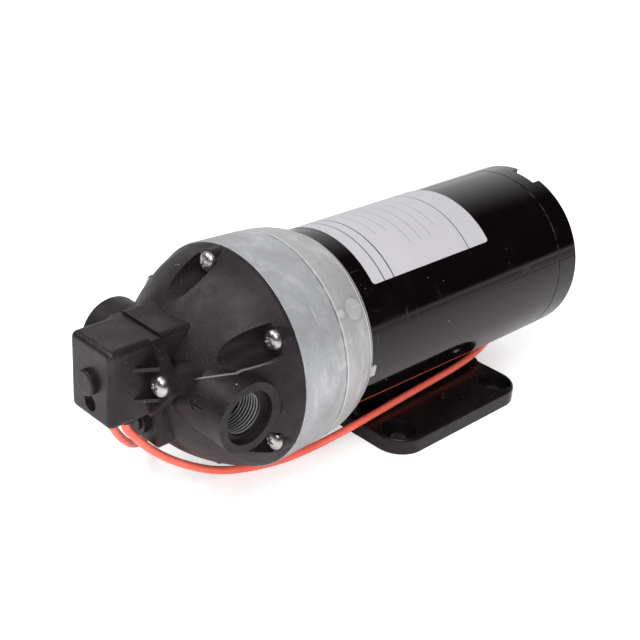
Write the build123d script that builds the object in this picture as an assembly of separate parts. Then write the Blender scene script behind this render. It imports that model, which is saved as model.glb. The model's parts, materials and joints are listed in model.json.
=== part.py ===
from build123d import *
import math
import os

# Caravan water pump: a 12 V diaphragm pump with a drum motor, a cast drive ring, a domed
# head with a pressure switch on its nose, and a moulded foot plate under the motor.
# Millimetres. The origin is the centre of the foot's four holes, on its underside.
# +X runs along the shaft towards the motor's rear, +Z is up, and the head points to -X.
# Angles round the shaft are counted from the -Y side upwards.

# General clearances
OVERRUN = 2.0
RUN_GAP = 0.05
FIT_GAP = 0.02
STACK_GAP = 0.1
JOINT_GAP = 0.3

# Shaft line and stations along it
AXIS_Z = 50.0
CAN_FRONT_X = -58.0
CAN_LENGTH = 133.0
CAN_R = 38.0
CAN_WALL = 2.0
RING_JOINT = 1.0
RING_LENGTH = 40.4
RING_LIP = 0.4
RING_DRAFT = 0.9
RING_END_LIP = 0.7
RING_BAND = 21.2
RING_GROOVE_W = 0.8
RING_GROOVE_DEPTH = 0.5
TAPER_SHARES = (0.25, 0.5, 0.75, 1.0)
DOME_DEPTH = 39.6
DOME_R = 44.2

RING_FRONT_R = DOME_R + RING_LIP
RING_WAIST_R = RING_FRONT_R - RING_DRAFT
RING_REAR_R = CAN_R + RING_END_LIP
CAN_REAR_X = CAN_FRONT_X + CAN_LENGTH
CAN_BORE_R = CAN_R - CAN_WALL
RING_REAR_X = CAN_FRONT_X - RING_JOINT
RING_FRONT_X = RING_REAR_X - RING_LENGTH
NOSE_X = RING_FRONT_X - DOME_DEPTH

# Foot plate and its saddle
PLATE_LENGTH = 82.0
PLATE_WIDTH = 87.0
PLATE_T = 7.0
PLATE_CORNER_R = 12.0
PLATE_EDGE_R = 1.2
HOLE_EDGE_X = 9.25
HOLE_EDGE_Y = 10.0
HOLE_PITCH_X = PLATE_LENGTH - 2 * HOLE_EDGE_X
HOLE_PITCH_Y = PLATE_WIDTH - 2 * HOLE_EDGE_Y
FOOT_HOLE_R = 3.3
FOOT_SINK_R = 7.3
FOOT_SINK_DEPTH = 4.0
SADDLE_LENGTH = PLATE_LENGTH - 2 * JOINT_GAP
SADDLE_WIDTH = 25.0
FOOT_RIBS = 5
RIB_PITCH = 19.0
RIB_T = 2.0
RIB_REACH = 7.0
RIB_HEIGHT = 4.6
FOOT_SCREW_PITCH = 50.0
FOOT_SCREW_R = 2.0
FOOT_SCREW_HEAD_R = 3.8
FOOT_SCREW_HEAD_H = 2.6
FOOT_SCREW_SINK_R = 4.4
FOOT_SCREW_SINK = 3.5

# Motor can: crimp line, notches in its rear edge, locating notch in its front edge
CRIMP_INSET = 12.7
CRIMP_W = 0.7
CRIMP_DEPTH = 0.35
NOTCH_W = 12.3
NOTCH_DEPTH = 4.6
NOTCH_ANGLE = 82.2
LEAD_NOTCH_W = 8.0
LEAD_ANGLE = -79.0
PEG_W = 4.4
PEG_LENGTH = 2.4
PEG_H = 1.6
PEG_ANGLE = -5.5

# Label round the can
LABEL_START = 8.0
LABEL_LENGTH = 70.0
LABEL_T = 0.2
LABEL_LOW_ANGLE = 44.0
LABEL_HIGH_ANGLE = 150.0
LABEL_CORNER_R = 1.6

# Head screws: six pan heads on one circle, each in a raked scoop of the dome
SCREW_COUNT = 6
SCREW_INSET = 4.5
SCREW_CIRCLE_R = DOME_R - SCREW_INSET
SCREW_START_ANGLE = 35.7
SCREW_R = 2.0
SCREW_HEAD_R = 4.0
SCREW_HEAD_H = 2.9
SCREW_EDGE_R = 1.2
SCREW_DEPTH = 14.0
CROSS_SLOT = 0.9
CROSS_DEPTH = 1.3
CROSS_SHARE = 0.62
SCREW_SEAT = 6.1
SCOOP_R = 6.3
SCOOP_RAKE = 10.0
LAND_R = 4.7
RING_PAD_R = 4.3
RING_PAD_INSET = 9.0
RING_PAD_DROP = 0.9
RING_PAD_EDGE_R = 1.0
RING_DOT_R = 1.8
RING_DOT_STEP = 7.0
RING_DOT_DROP = 0.6

# Dome inside: outer inlet space, inner outlet space, and the wall between them
CAVITY_R = 29.0
CAVITY_STRAIGHT = 13.0
CAVITY_DEPTH = 33.0
DIVIDER_R = 19.4
DIVIDER_WALL = 2.4
DOME_POWER = 1.2
DOME_ROUND = 2.25
DOME_STEPS = 9

# Ports on both sides of the head
PORT_INSET = 23.3
PORT_RISE = 1.5
PORT_FACE_Y = 40.6
PORT_BOSS_R = 13.6
PORT_SPOT_R = 15.0
PORT_MOUTH_R = 10.4
PORT_MOUTH_DEPTH = 3.0
PORT_THREAD_R = 8.3
PORT_THREAD_LENGTH = 12.0
PORT_WAY_R = 5.0
ARROW_LENGTH = 7.0
ARROW_SLOT = 0.7
ARROW_DEPTH = 0.6
ARROW_BARB_SHARE = 0.5
ARROW_BARB_ANGLE = 35.0
ARROW_TURN = 75.0

# Pedestal for the pressure switch, and the bypass valve under it
PEDESTAL_W = 24.0
PEDESTAL_TOP = 27.0
PEDESTAL_FOOT = 20.0
PEDESTAL_LENGTH = 26.0
PEDESTAL_ROUND_R = 2.5
EAR_BOSS_R = 5.2
EAR_BOSS_FOOT_R = 6.6
EAR_BOSS_LENGTH = 14.0
BYPASS_Z = -12.5
BYPASS_CAP_R = 5.5
BYPASS_CAP_T = 2.4
BYPASS_NOSE_R = 3.6
BYPASS_NOSE_T = 1.1
BYPASS_BORE_R = 3.4
BYPASS_DEPTH = 14.0
BYPASS_PLUG = 3.4
BYPASS_POPPET_R = 3.3
BYPASS_POPPET_L = 4.0
BYPASS_HOLE_R = 1.6
BYPASS_STEP = 0.6
BYPASS_WIRE_R = 0.4

# Pressure switch
SWITCH_W = 23.6
SWITCH_LOW = -4.3
SWITCH_HIGH = 26.1
SWITCH_LENGTH = 21.2
SWITCH_WALL = 2.0
SWITCH_ROUND_R = 2.8
SWITCH_FACE_ROUND_R = 2.4
SWITCH_KNOB_R = 4.8
SWITCH_KNOB_T = 2.4
SWITCH_KNOB_EDGE_R = 0.8
SWITCH_HOLE_R = 3.3
SWITCH_HOLE_Z = 2.3
SWITCH_SLEEVE_R = 4.8
SWITCH_SLEEVE_L = 6.5
EAR_HALF_SPAN = 17.2
EAR_R = 5.4
EAR_T = 4.0
EAR_GUSSET_T = 1.4
EAR_GUSSET_L = 7.5
EAR_GUSSET_RISE = 6.2
EAR_GUSSET_REACH = 4.6
EAR_SCREW_DEPTH = 12.0
EAR_SCREW_R = 1.7
SWITCH_LINE = 0.4
SEAL_R = 6.0
SEAL_T = 1.2
CHAMBER_R = 3.8
BASE_T = 3.8
BASE_RECESS_R = 4.2
BASE_RECESS = 2.0
PLUNGER_FOOT_R = 3.9
PLUNGER_FOOT_T = 1.2
PLUNGER_R = 2.2
PLUNGER_LENGTH = 6.4
FINGER_T = 1.2
FINGER_W = 4.4
FINGER_TOP = 14.5
MICRO_LENGTH = 8.4
MICRO_W = 6.4
MICRO_LOW = 8.0
MICRO_HIGH = 23.4
BUTTON_R = 1.1
BUTTON_L = 2.2
BUTTON_Z = 13.0
SPRING_R = 2.3
SPRING_WIRE_R = 0.35
SPRING_TURNS = 4
ADJUSTER_L = 4.0
ADJUSTER_SINK = 2.6
HEX_HALF = 1.3
HEX_DEPTH = 2.0

# Sealed stack inside the ring: gasket, valve plate, diaphragm, clamp plate
BORE_INSET = 3.2
BORE_R = SCREW_CIRCLE_R - BORE_INSET
STACK_R = BORE_R - JOINT_GAP
GASKET_T = 0.8
GASKET_LAND = 6.2
GASKET_IN_R = STACK_R - GASKET_LAND
VALVE_PLATE_T = 8.4
CHAMBER_COUNT = 3
CHAMBER_FIRST_ANGLE = 90.0
CHAMBER_CIRCLE_R = 18.5
POCKET_R = 12.2
POCKET_DEPTH = 5.9
INLET_OFFSET = 6.5
VALVE_DISC_R = 4.0
VALVE_DISC_T = 1.0
VALVE_STEM_R = 1.2
VALVE_TAIL = 1.0
VALVE_WAY_R = 0.9
VALVE_WAYS = 4
VALVE_WAY_CIRCLE_R = 2.5
DIAPHRAGM_T = 2.0
DISC_R = 8.6
CLAMP_T = 4.0
CLAMP_HOLE_R = 12.4
CLAMP_CENTRE_R = 8.0
BORE_STEP = 3.0
REAR_BORE_R = BORE_R - BORE_STEP

# Wobble drive
WOBBLE_TILT = 4.0
CAP_R = 8.4
CAP_T = 1.9
PISTON_SCREW_R = 2.0
PISTON_SCREW_HEAD_R = 3.2
PISTON_SCREW_HEAD_H = 1.2
PISTON_SCREW_L = 11.0
PISTON_SCREW_EDGE_R = 0.2
PAD_R = 8.0
PAD_LENGTH = 12.0
HUB_R = 18.0
HUB_T = 8.4
HUB_LEAD = 6.0
CAM_BEARING_R = 14.0
CAM_BEARING_BORE_R = 6.0
CAM_BEARING_W = 8.0
CAM_FLANGE_R = 9.0
CAM_FLANGE_T = 3.0
CAM_TILT_ROOM = 1.0

# Shaft and its two ball bearings, all of one size
SHAFT_R = 4.0
SHAFT_EDGE = 0.4
BEARING_R = 11.0
BEARING_W = 7.0
BEARING_GROOVE_W = 1.6
BEARING_GROOVE = 0.6
BEARING_SEAT_R = 14.5
WALL_T = 5.5
SPIGOT_LENGTH = 3.5
SHAFT_HOLE_R = 6.0
MOUNT_PLATE_T = 2.8
MOUNT_SCREW_CIRCLE_R = 26.0
MOUNT_SCREW_R = 2.0
MOUNT_SCREW_HEAD_R = 3.6
MOUNT_SCREW_HEAD_H = 2.4

# Motor inside
MAGNET_IN_R = 31.5
MAGNET_LENGTH = 70.0
MAGNET_START = 17.0
MAGNET_SPAN = 130.0
AIR_GAP = 0.7
CORE_LENGTH = 60.0
CORE_SLOTS = 12
SLOT_W = 3.6
SLOT_FLOOR_R = 17.0
SLOT_FILL = 0.2
END_TURN_R = 27.0
END_TURN_IN_R = 8.0
END_TURN_L = 9.0
COMMUTATOR_R = 11.0
COMMUTATOR_L = 14.0
COMMUTATOR_SLOT = 0.8
COMMUTATOR_GAP = 2.0
BRUSH_W = 6.0
BRUSH_L = 8.0
BRUSH_H = 12.0
BRUSH_WALL = 1.5
BRUSH_SPRING_L = 7.0
BRUSH_SPRING_R = 2.4
BRUSH_SPRING_TURNS = 4
HOLDER_T = 2.5
HOLDER_HOLE_R = 13.0
BELL_INSET = 2.0
BELL_T = 3.5
BELL_WALL = 2.0
BELL_SKIRT = 11.0
BELL_CAP_R = 12.5
BELL_CAP_T = 1.8
BELL_RIBS = 6
BELL_RIB_T = 1.6
BELL_RIB_H = 1.0

# Leads
LEAD_R = 1.6
LEAD_SIDE = 6.0
LEAD_SHARE = 0.45
SWITCH_EXIT = 11.0
GROMMET_LENGTH = 6.0
GROMMET_WIDTH = 17.6
GROMMET_LIP = 1.2
GROMMET_DROP = 1.4
LEAD_LIFT = 0.5
STRAND_R = 0.9
STRAND_L = 8.0
BOOT_OUT = 4.2
BOOT_IN = 1.0
BOOT_ROUND_R = 1.0

SCREW_ANGLES = [SCREW_START_ANGLE + 360 / SCREW_COUNT * i for i in range(SCREW_COUNT)]
CHAMBER_ANGLES = [CHAMBER_FIRST_ANGLE + 360 / CHAMBER_COUNT * i for i in range(CHAMBER_COUNT)]


def polar(angle, radius):
    """Y and Z of a place round the shaft, counted from the -Y side upwards."""
    turn = math.radians(angle)
    return -radius * math.cos(turn), AXIS_Z + radius * math.sin(turn)


def along_x(radius, start, length, y=0.0, z=AXIS_Z):
    """A cylinder along the shaft, from its lower X."""
    place = Plane(origin=(start, y, z), x_dir=(0, 1, 0), z_dir=(1, 0, 0))
    return place * Cylinder(radius, length, align=(Align.CENTER, Align.CENTER, Align.MIN))


def along_y(radius, start, length, x, z):
    """A cylinder across the pump, from its lower Y."""
    place = Plane(origin=(x, start, z), x_dir=(1, 0, 0), z_dir=(0, 1, 0))
    return place * Cylinder(radius, length, align=(Align.CENTER, Align.CENTER, Align.MIN))


def along_z(radius, start, length, x, y):
    """An upright cylinder, from its lower Z."""
    return Pos(x, y, start) * Cylinder(radius, length, align=(Align.CENTER, Align.CENTER, Align.MIN))


def tube(outer, inner, start, length, y=0.0, z=AXIS_Z):
    """A plain ring along the shaft."""
    return along_x(outer, start, length, y, z) - along_x(
        inner, start - OVERRUN, length + 2 * OVERRUN, y, z
    )


def block(x0, x1, y0, y1, z0, z1):
    """A box between two corners."""
    corner = (Align.MIN, Align.MIN, Align.MIN)
    return Pos(x0, y0, z0) * Box(x1 - x0, y1 - y0, z1 - z0, align=corner)


def spun(points):
    """A solid of revolution about the shaft, from an outline in X and radius."""
    outline = Polyline(*[(x, AXIS_Z + r) for x, r in points], close=True)
    face = Plane.XZ * make_face(outline)
    return revolve(face, Axis((0, 0, AXIS_Z), (1, 0, 0)), 360)


def around(shape, angle):
    """A shape drawn at the -Y side, carried round the shaft to an angle."""
    return Pos(0, 0, AXIS_Z) * Rot(-angle, 0, 0) * Pos(0, 0, -AXIS_Z) * shape


def dome_radius(share):
    """Radius of the dome at a share of its depth, as a share of its rim radius."""
    return (1 - share**DOME_POWER) ** (1 / DOME_ROUND)


def domed(start, depth, radius):
    """Solid nose that shrinks towards -X along one smooth curve."""
    points = []
    for step in range(DOME_STEPS + 1):
        turn = math.pi / 2 * step / DOME_STEPS
        share = min(1.0, math.sin(turn) ** (2 / DOME_POWER))
        points.append((start - depth * share, AXIS_Z + radius * dome_radius(share)))
    curve = Spline(*points, tangents=[(-1, 0), (0, -1)])
    base = Line((start, AXIS_Z), points[0])
    axis = Line(points[-1], (start, AXIS_Z))
    face = Plane.XZ * make_face(Curve() + [base, curve, axis])
    return revolve(face, Axis((0, 0, AXIS_Z), (1, 0, 0)), 360)


def pan_screw(shank_r, length, head_r, head_h, edge_r=SCREW_EDGE_R):
    """Pan head screw, its head above the XY plane and its shank below."""
    head = Cylinder(head_r, head_h, align=(Align.CENTER, Align.CENTER, Align.MIN))
    head = fillet(head.edges().group_by(Axis.Z)[-1], min(edge_r, head_h / 2))
    span = 2 * head_r * CROSS_SHARE
    depth = min(CROSS_DEPTH, head_h / 2)
    for turn in (0, 90):
        slot = Box(span, CROSS_SLOT, depth + OVERRUN, align=(Align.CENTER, Align.CENTER, Align.MIN))
        head -= Rot(0, 0, turn) * Pos(0, 0, head_h - depth) * slot
    shank = Cylinder(shank_r, length, align=(Align.CENTER, Align.CENTER, Align.MAX))
    return head + shank


def facing_front(x, y, z):
    """Plane whose normal points to -X, for screws driven from the head's side."""
    return Plane(origin=(x, y, z), x_dir=(0, 1, 0), z_dir=(-1, 0, 0))


def spring(start, length, radius, wire_r, turns, y, z):
    """Coil spring along the shaft line."""
    run = length - 2 * wire_r
    place = Plane(origin=(start + wire_r, y, z), x_dir=(0, 1, 0), z_dir=(1, 0, 0))
    path = place * Helix(pitch=run / turns, height=run, radius=radius)
    section = Plane(origin=path @ 0, z_dir=path % 0) * Circle(wire_r)
    return sweep(section, path=path)


def tilted(shape):
    """Turns what rides on the inclined journal about the wobble centre."""
    return Pos(WOBBLE_X, 0, AXIS_Z) * Rot(0, -WOBBLE_TILT, 0) * Pos(-WOBBLE_X, 0, -AXIS_Z) * shape


# Stations of the sealed stack, from the dome's rim rearwards
GASKET_X = RING_FRONT_X
VALVE_PLATE_X = GASKET_X + GASKET_T
POCKET_X = VALVE_PLATE_X + VALVE_PLATE_T - POCKET_DEPTH
DIAPHRAGM_X = VALVE_PLATE_X + VALVE_PLATE_T + STACK_GAP
CLAMP_X = DIAPHRAGM_X + DIAPHRAGM_T + STACK_GAP
STEP_X = CLAMP_X + CLAMP_T + STACK_GAP
PAD_X = DIAPHRAGM_X + DIAPHRAGM_T + STACK_GAP
CAP_X = DIAPHRAGM_X - STACK_GAP - CAP_T
HUB_X = PAD_X + HUB_LEAD
WOBBLE_X = HUB_X + CAM_BEARING_W / 2
WALL_X = RING_REAR_X - WALL_T
BEARING_X = WALL_X - BEARING_W / 2
SHAFT_START = HUB_X - CAM_TILT_ROOM
SPIGOT_END = RING_REAR_X + SPIGOT_LENGTH
MOUNT_PLATE_X = SPIGOT_END + STACK_GAP
MAGNET_X = CAN_FRONT_X + MAGNET_START
CORE_X = MAGNET_X + (MAGNET_LENGTH - CORE_LENGTH) / 2
COMMUTATOR_X = CORE_X + CORE_LENGTH + END_TURN_L + COMMUTATOR_GAP
BELL_FACE_X = CAN_REAR_X - BELL_INSET
REAR_BEARING_X = BELL_FACE_X - BELL_T - BEARING_W
SHAFT_END = BELL_FACE_X - BELL_T
PORT_X = RING_FRONT_X - PORT_INSET
PORT_Z = AXIS_Z + PORT_RISE
SEAT_X = RING_FRONT_X - SCREW_SEAT
FLANGE_REAR_X = NOSE_X - SWITCH_LINE
SWITCH_FRONT_X = FLANGE_REAR_X - SWITCH_LENGTH
EAR_Z = AXIS_Z + (SWITCH_LOW + SWITCH_HIGH) / 2
PLUNGER_Z = AXIS_Z + SWITCH_HOLE_Z


def foot_plate():
    """Foot: rounded plate, sunk holes, saddle block under the can and its rib feet."""
    plate = extrude(RectangleRounded(PLATE_LENGTH, PLATE_WIDTH, PLATE_CORNER_R), PLATE_T)
    plate = fillet(plate.edges().group_by(Axis.Z)[-1], PLATE_EDGE_R)
    seat_r = CAN_R + STACK_GAP
    half = SADDLE_WIDTH / 2
    top = AXIS_Z - math.sqrt(seat_r**2 - half**2)
    body = plate + block(-SADDLE_LENGTH / 2, SADDLE_LENGTH / 2, -half, half, 0, top)
    first = -RIB_PITCH * (FOOT_RIBS - 1) / 2
    profile = Polyline(
        (0, PLATE_T - RIB_T), (half + RIB_REACH, PLATE_T - RIB_T), (half + RIB_REACH, PLATE_T),
        (half, PLATE_T + RIB_HEIGHT), (0, PLATE_T + RIB_HEIGHT), close=True,
    )
    for i in range(FOOT_RIBS):
        x = first + i * RIB_PITCH
        gusset = extrude(Plane.YZ * make_face(profile), RIB_T / 2, both=True)
        body += Pos(x, 0, 0) * gusset
        body += Pos(x, 0, 0) * Rot(0, 0, 180) * gusset
    body -= along_x(seat_r, -PLATE_LENGTH, 2 * PLATE_LENGTH)
    for x in (-HOLE_PITCH_X / 2, HOLE_PITCH_X / 2):
        for y in (-HOLE_PITCH_Y / 2, HOLE_PITCH_Y / 2):
            body -= along_z(FOOT_HOLE_R, -OVERRUN, PLATE_T + 2 * OVERRUN, x, y)
            body -= along_z(FOOT_SINK_R, PLATE_T - FOOT_SINK_DEPTH, FOOT_SINK_DEPTH + OVERRUN, x, y)
    for x in (-FOOT_SCREW_PITCH / 2, FOOT_SCREW_PITCH / 2):
        body -= along_z(FOOT_SCREW_R + JOINT_GAP, -OVERRUN, AXIS_Z, x, 0)
        body -= along_z(FOOT_SCREW_SINK_R, -OVERRUN, FOOT_SCREW_SINK + OVERRUN, x, 0)
    return body


def foot_screws():
    """Two screws that pull the saddle up against the can from below."""
    reach = AXIS_Z - CAN_BORE_R - FOOT_SCREW_SINK
    screw = Rot(180, 0, 0) * pan_screw(FOOT_SCREW_R, reach, FOOT_SCREW_HEAD_R, FOOT_SCREW_HEAD_H)
    xs = (-FOOT_SCREW_PITCH / 2, FOOT_SCREW_PITCH / 2)
    return [Pos(x, 0, FOOT_SCREW_SINK) * screw for x in xs]


def motor_can():
    """Drawn steel can: crimp line, two notches in the rear edge, one in the front edge."""
    can = tube(CAN_R, CAN_BORE_R, CAN_FRONT_X, CAN_LENGTH)
    can -= tube(CAN_R + OVERRUN, CAN_R - CRIMP_DEPTH, CAN_REAR_X - CRIMP_INSET, CRIMP_W)
    for angle, width in ((NOTCH_ANGLE, NOTCH_W), (LEAD_ANGLE, LEAD_NOTCH_W)):
        notch = block(
            CAN_REAR_X - NOTCH_DEPTH, CAN_REAR_X + OVERRUN,
            -CAN_R - OVERRUN, -CAN_BORE_R + OVERRUN,
            AXIS_Z - width / 2, AXIS_Z + width / 2,
        )
        can -= around(notch, angle)
    peg_w = PEG_W + 2 * STACK_GAP
    gap = block(
        CAN_FRONT_X - OVERRUN, CAN_FRONT_X + PEG_LENGTH - RING_JOINT + STACK_GAP,
        -CAN_R - OVERRUN, -CAN_BORE_R + OVERRUN,
        AXIS_Z - peg_w / 2, AXIS_Z + peg_w / 2,
    )
    can -= around(gap, PEG_ANGLE)
    for x in (-FOOT_SCREW_PITCH / 2, FOOT_SCREW_PITCH / 2):
        can -= along_z(FOOT_SCREW_R + RUN_GAP, 0, AXIS_Z, x, 0)
    return can


def motor_label():
    """Thin wrap-round label with rounded corners, bare of words."""
    start = CAN_FRONT_X + LABEL_START
    inner = CAN_R + FIT_GAP
    sheet = tube(inner + LABEL_T, inner, start, LABEL_LENGTH)
    low, high = LABEL_LOW_ANGLE, LABEL_HIGH_ANGLE
    reach = 2 * CAN_R
    middle = (low + high) / 2
    half = math.radians((high - low) / 2)
    wedge = Polyline(
        (0, 0), (-reach, -reach * math.tan(half)), (-reach, reach * math.tan(half)), close=True
    )
    side = Plane(origin=(start - OVERRUN, 0, AXIS_Z), x_dir=(0, 1, 0), z_dir=(1, 0, 0))
    prism = extrude(side * make_face(wedge), LABEL_LENGTH + 2 * OVERRUN)
    sheet = sheet & around(prism, middle)
    turn = math.degrees(LABEL_CORNER_R / inner)
    for x, inward in ((start, 1), (start + LABEL_LENGTH, -1)):
        for angle in (low + turn, high - turn):
            centre = x + inward * LABEL_CORNER_R
            corner = block(
                min(x - inward * OVERRUN, centre), max(x - inward * OVERRUN, centre),
                -CAN_R - OVERRUN, -CAN_R + OVERRUN, AXIS_Z - LABEL_CORNER_R - OVERRUN, AXIS_Z,
            )
            if angle != low + turn:
                corner = mirror(corner, Plane(origin=(0, 0, AXIS_Z), z_dir=(0, 0, 1)))
            corner -= along_y(LABEL_CORNER_R, -CAN_R - OVERRUN, 2 * OVERRUN, centre, AXIS_Z)
            sheet -= around(corner, angle)
    return sheet


def drive_ring():
    """Cast drive housing: banded outside, screw pads, stepped bore, bearing wall, spigot."""
    waist_x = RING_FRONT_X + RING_BAND
    outline = [
        (RING_FRONT_X, 0), (RING_FRONT_X, RING_FRONT_R), (waist_x, RING_WAIST_R),
        (waist_x, RING_WAIST_R - RING_GROOVE_DEPTH),
        (waist_x + RING_GROOVE_W, RING_WAIST_R - RING_GROOVE_DEPTH),
        (waist_x + RING_GROOVE_W, RING_WAIST_R - RING_GROOVE_DEPTH / 2),
    ]
    length = RING_REAR_X - waist_x - RING_GROOVE_W
    drop = RING_WAIST_R - RING_GROOVE_DEPTH / 2 - RING_REAR_R
    for share in TAPER_SHARES:
        bulge = 1 - share ** (2 * DOME_POWER)
        outline.append((waist_x + RING_GROOVE_W + length * share, RING_REAR_R + drop * bulge))
    outline += [
        (RING_REAR_X, CAN_BORE_R - STACK_GAP), (SPIGOT_END, CAN_BORE_R - STACK_GAP), (SPIGOT_END, 0),
    ]
    ring = spun(outline)
    pad_x = RING_REAR_X - RING_PAD_INSET
    top = RING_WAIST_R - RING_PAD_DROP
    pad = along_y(RING_PAD_R, -top, top - REAR_BORE_R, pad_x, AXIS_Z)
    pad = fillet(pad.edges().group_by(Axis.Y)[0], RING_PAD_EDGE_R)
    top = RING_WAIST_R - RING_DOT_DROP
    pad += along_y(RING_DOT_R, -top, top - REAR_BORE_R, pad_x - RING_DOT_STEP, AXIS_Z)
    for angle in SCREW_ANGLES[::2]:
        ring += around(pad, angle)
    peg = block(
        RING_REAR_X - OVERRUN, RING_REAR_X + PEG_LENGTH,
        -CAN_R - PEG_H / 2, -CAN_BORE_R + OVERRUN, AXIS_Z - PEG_W / 2, AXIS_Z + PEG_W / 2,
    )
    ring += around(peg, PEG_ANGLE)
    ring -= along_x(BORE_R, RING_FRONT_X - OVERRUN, STEP_X - RING_FRONT_X + OVERRUN)
    ring -= along_x(REAR_BORE_R, STEP_X - OVERRUN, WALL_X - STEP_X + OVERRUN)
    ring += along_x(BEARING_SEAT_R, BEARING_X, WALL_X - BEARING_X + OVERRUN)
    ring -= along_x(BEARING_R + FIT_GAP, BEARING_X - OVERRUN, BEARING_W + OVERRUN)
    ring -= along_x(SHAFT_HOLE_R, BEARING_X, SPIGOT_END - BEARING_X + OVERRUN)
    for angle in SCREW_ANGLES:
        y, z = polar(angle, SCREW_CIRCLE_R)
        depth = SCREW_DEPTH + STACK_GAP
        ring -= along_x(SCREW_R + RUN_GAP, RING_FRONT_X - OVERRUN, depth + OVERRUN, y, z)
    for angle in CHAMBER_ANGLES:
        y, z = polar(angle, MOUNT_SCREW_CIRCLE_R)
        ring -= along_x(MOUNT_SCREW_R + RUN_GAP, WALL_X - OVERRUN, BORE_R, y, z)
    return ring


def scoop(angle):
    """Raked pocket that lets a screw head down onto the dome's rim."""
    y, z = polar(angle, SCREW_CIRCLE_R)
    turn = math.radians(angle)
    rake = math.radians(SCOOP_RAKE)
    inward = (0, math.cos(turn), -math.sin(turn))
    aim = (-math.cos(rake), inward[1] * math.sin(rake), inward[2] * math.sin(rake))
    axis = Plane(origin=(SEAT_X, y, z), z_dir=aim)
    reach = 2 * DOME_DEPTH
    channel = axis * Cylinder(SCOOP_R, reach)
    window = block(NOSE_X - reach, SEAT_X, -2 * DOME_R, 2 * DOME_R, -AXIS_Z, 2 * AXIS_Z + DOME_R)
    return channel & window


def pedestal():
    """Block on the dome's nose that carries the switch, with a boss behind each ear."""
    centre_z = AXIS_Z + (PEDESTAL_TOP - PEDESTAL_FOOT) / 2
    height = PEDESTAL_TOP + PEDESTAL_FOOT
    section = Plane(origin=(NOSE_X, 0, centre_z), x_dir=(0, 1, 0), z_dir=(1, 0, 0))
    body = extrude(section * RectangleRounded(PEDESTAL_W, height, PEDESTAL_ROUND_R), PEDESTAL_LENGTH)
    for side in (-1, 1):
        place = Plane(origin=(NOSE_X, side * EAR_HALF_SPAN, EAR_Z), x_dir=(0, 1, 0), z_dir=(1, 0, 0))
        low = (Align.CENTER, Align.CENTER, Align.MIN)
        body += place * Cone(EAR_BOSS_R, EAR_BOSS_FOOT_R, EAR_BOSS_LENGTH, align=low)
    return body


def arrow(side):
    """Flow arrow cut into the front of a port boss: a shaft and one pair of barbs."""
    radius = PORT_BOSS_R - ARROW_DEPTH
    low = (Align.CENTER, Align.CENTER, Align.MIN)
    y = side * (PORT_FACE_Y - PORT_BOSS_R)
    place = Pos(PORT_X, y, PORT_Z) * Rot(0, -ARROW_TURN, 0) * Pos(0, 0, radius)
    mark = Box(ARROW_SLOT, ARROW_LENGTH, OVERRUN, align=low)
    for turn in (-ARROW_BARB_ANGLE, ARROW_BARB_ANGLE):
        tip = (Align.CENTER, Align.MAX, Align.MIN)
        barb = Box(ARROW_SLOT, ARROW_LENGTH * ARROW_BARB_SHARE, OVERRUN, align=tip)
        mark += Pos(0, ARROW_LENGTH / 2, 0) * Rot(0, 0, turn) * barb
    return place * mark


def head_dome():
    """Moulded head: dome, side ports, switch pedestal, screw scoops and inner spaces."""
    head = domed(RING_FRONT_X, DOME_DEPTH, DOME_R)
    for angle in SCREW_ANGLES:
        head -= scoop(angle)
    head += along_y(PORT_BOSS_R, -PORT_FACE_Y, 2 * PORT_FACE_Y, PORT_X, PORT_Z)
    head += pedestal()
    for angle in SCREW_ANGLES:
        y, z = polar(angle, SCREW_CIRCLE_R)
        head += along_x(LAND_R, SEAT_X, SCREW_SEAT, y, z)
    cavity = along_x(CAVITY_R, RING_FRONT_X - CAVITY_STRAIGHT, CAVITY_STRAIGHT + OVERRUN)
    cavity += domed(RING_FRONT_X - CAVITY_STRAIGHT, CAVITY_DEPTH - CAVITY_STRAIGHT, CAVITY_R)
    divider = tube(DIVIDER_R, DIVIDER_R - DIVIDER_WALL, RING_FRONT_X - DOME_DEPTH / 2, DOME_DEPTH / 2)
    divider += tube(
        DIVIDER_R, DIVIDER_R - DIVIDER_WALL,
        RING_FRONT_X - CAVITY_DEPTH, CAVITY_DEPTH + GASKET_T - STACK_GAP,
    )
    head -= cavity - divider
    head += divider & (along_x(CAVITY_R, RING_FRONT_X - OVERRUN, GASKET_T + OVERRUN))
    for angle in SCREW_ANGLES:
        y, z = polar(angle, SCREW_CIRCLE_R)
        head -= along_x(SCREW_R + JOINT_GAP, SEAT_X - OVERRUN, SCREW_SEAT + 2 * OVERRUN, y, z)
    for side in (-1, 1):
        head -= port_cut(side)
        head -= arrow(side)
        y = side * EAR_HALF_SPAN
        head -= along_x(EAR_SCREW_R + RUN_GAP, NOSE_X - OVERRUN, EAR_SCREW_DEPTH + OVERRUN, y, EAR_Z)
    head -= along_x(SEAL_R + JOINT_GAP, NOSE_X - OVERRUN, SEAL_T + JOINT_GAP + OVERRUN, 0, PLUNGER_Z)
    head -= along_x(CHAMBER_R, NOSE_X - OVERRUN, DOME_DEPTH / 2 + OVERRUN, 0, PLUNGER_Z)
    z = AXIS_Z + BYPASS_Z
    head -= along_x(BYPASS_BORE_R, NOSE_X - OVERRUN, BYPASS_DEPTH + OVERRUN, 0, z)
    head -= along_x(BYPASS_HOLE_R, NOSE_X, DOME_DEPTH / 2 + BYPASS_DEPTH / 2, 0, z)
    return head


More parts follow.
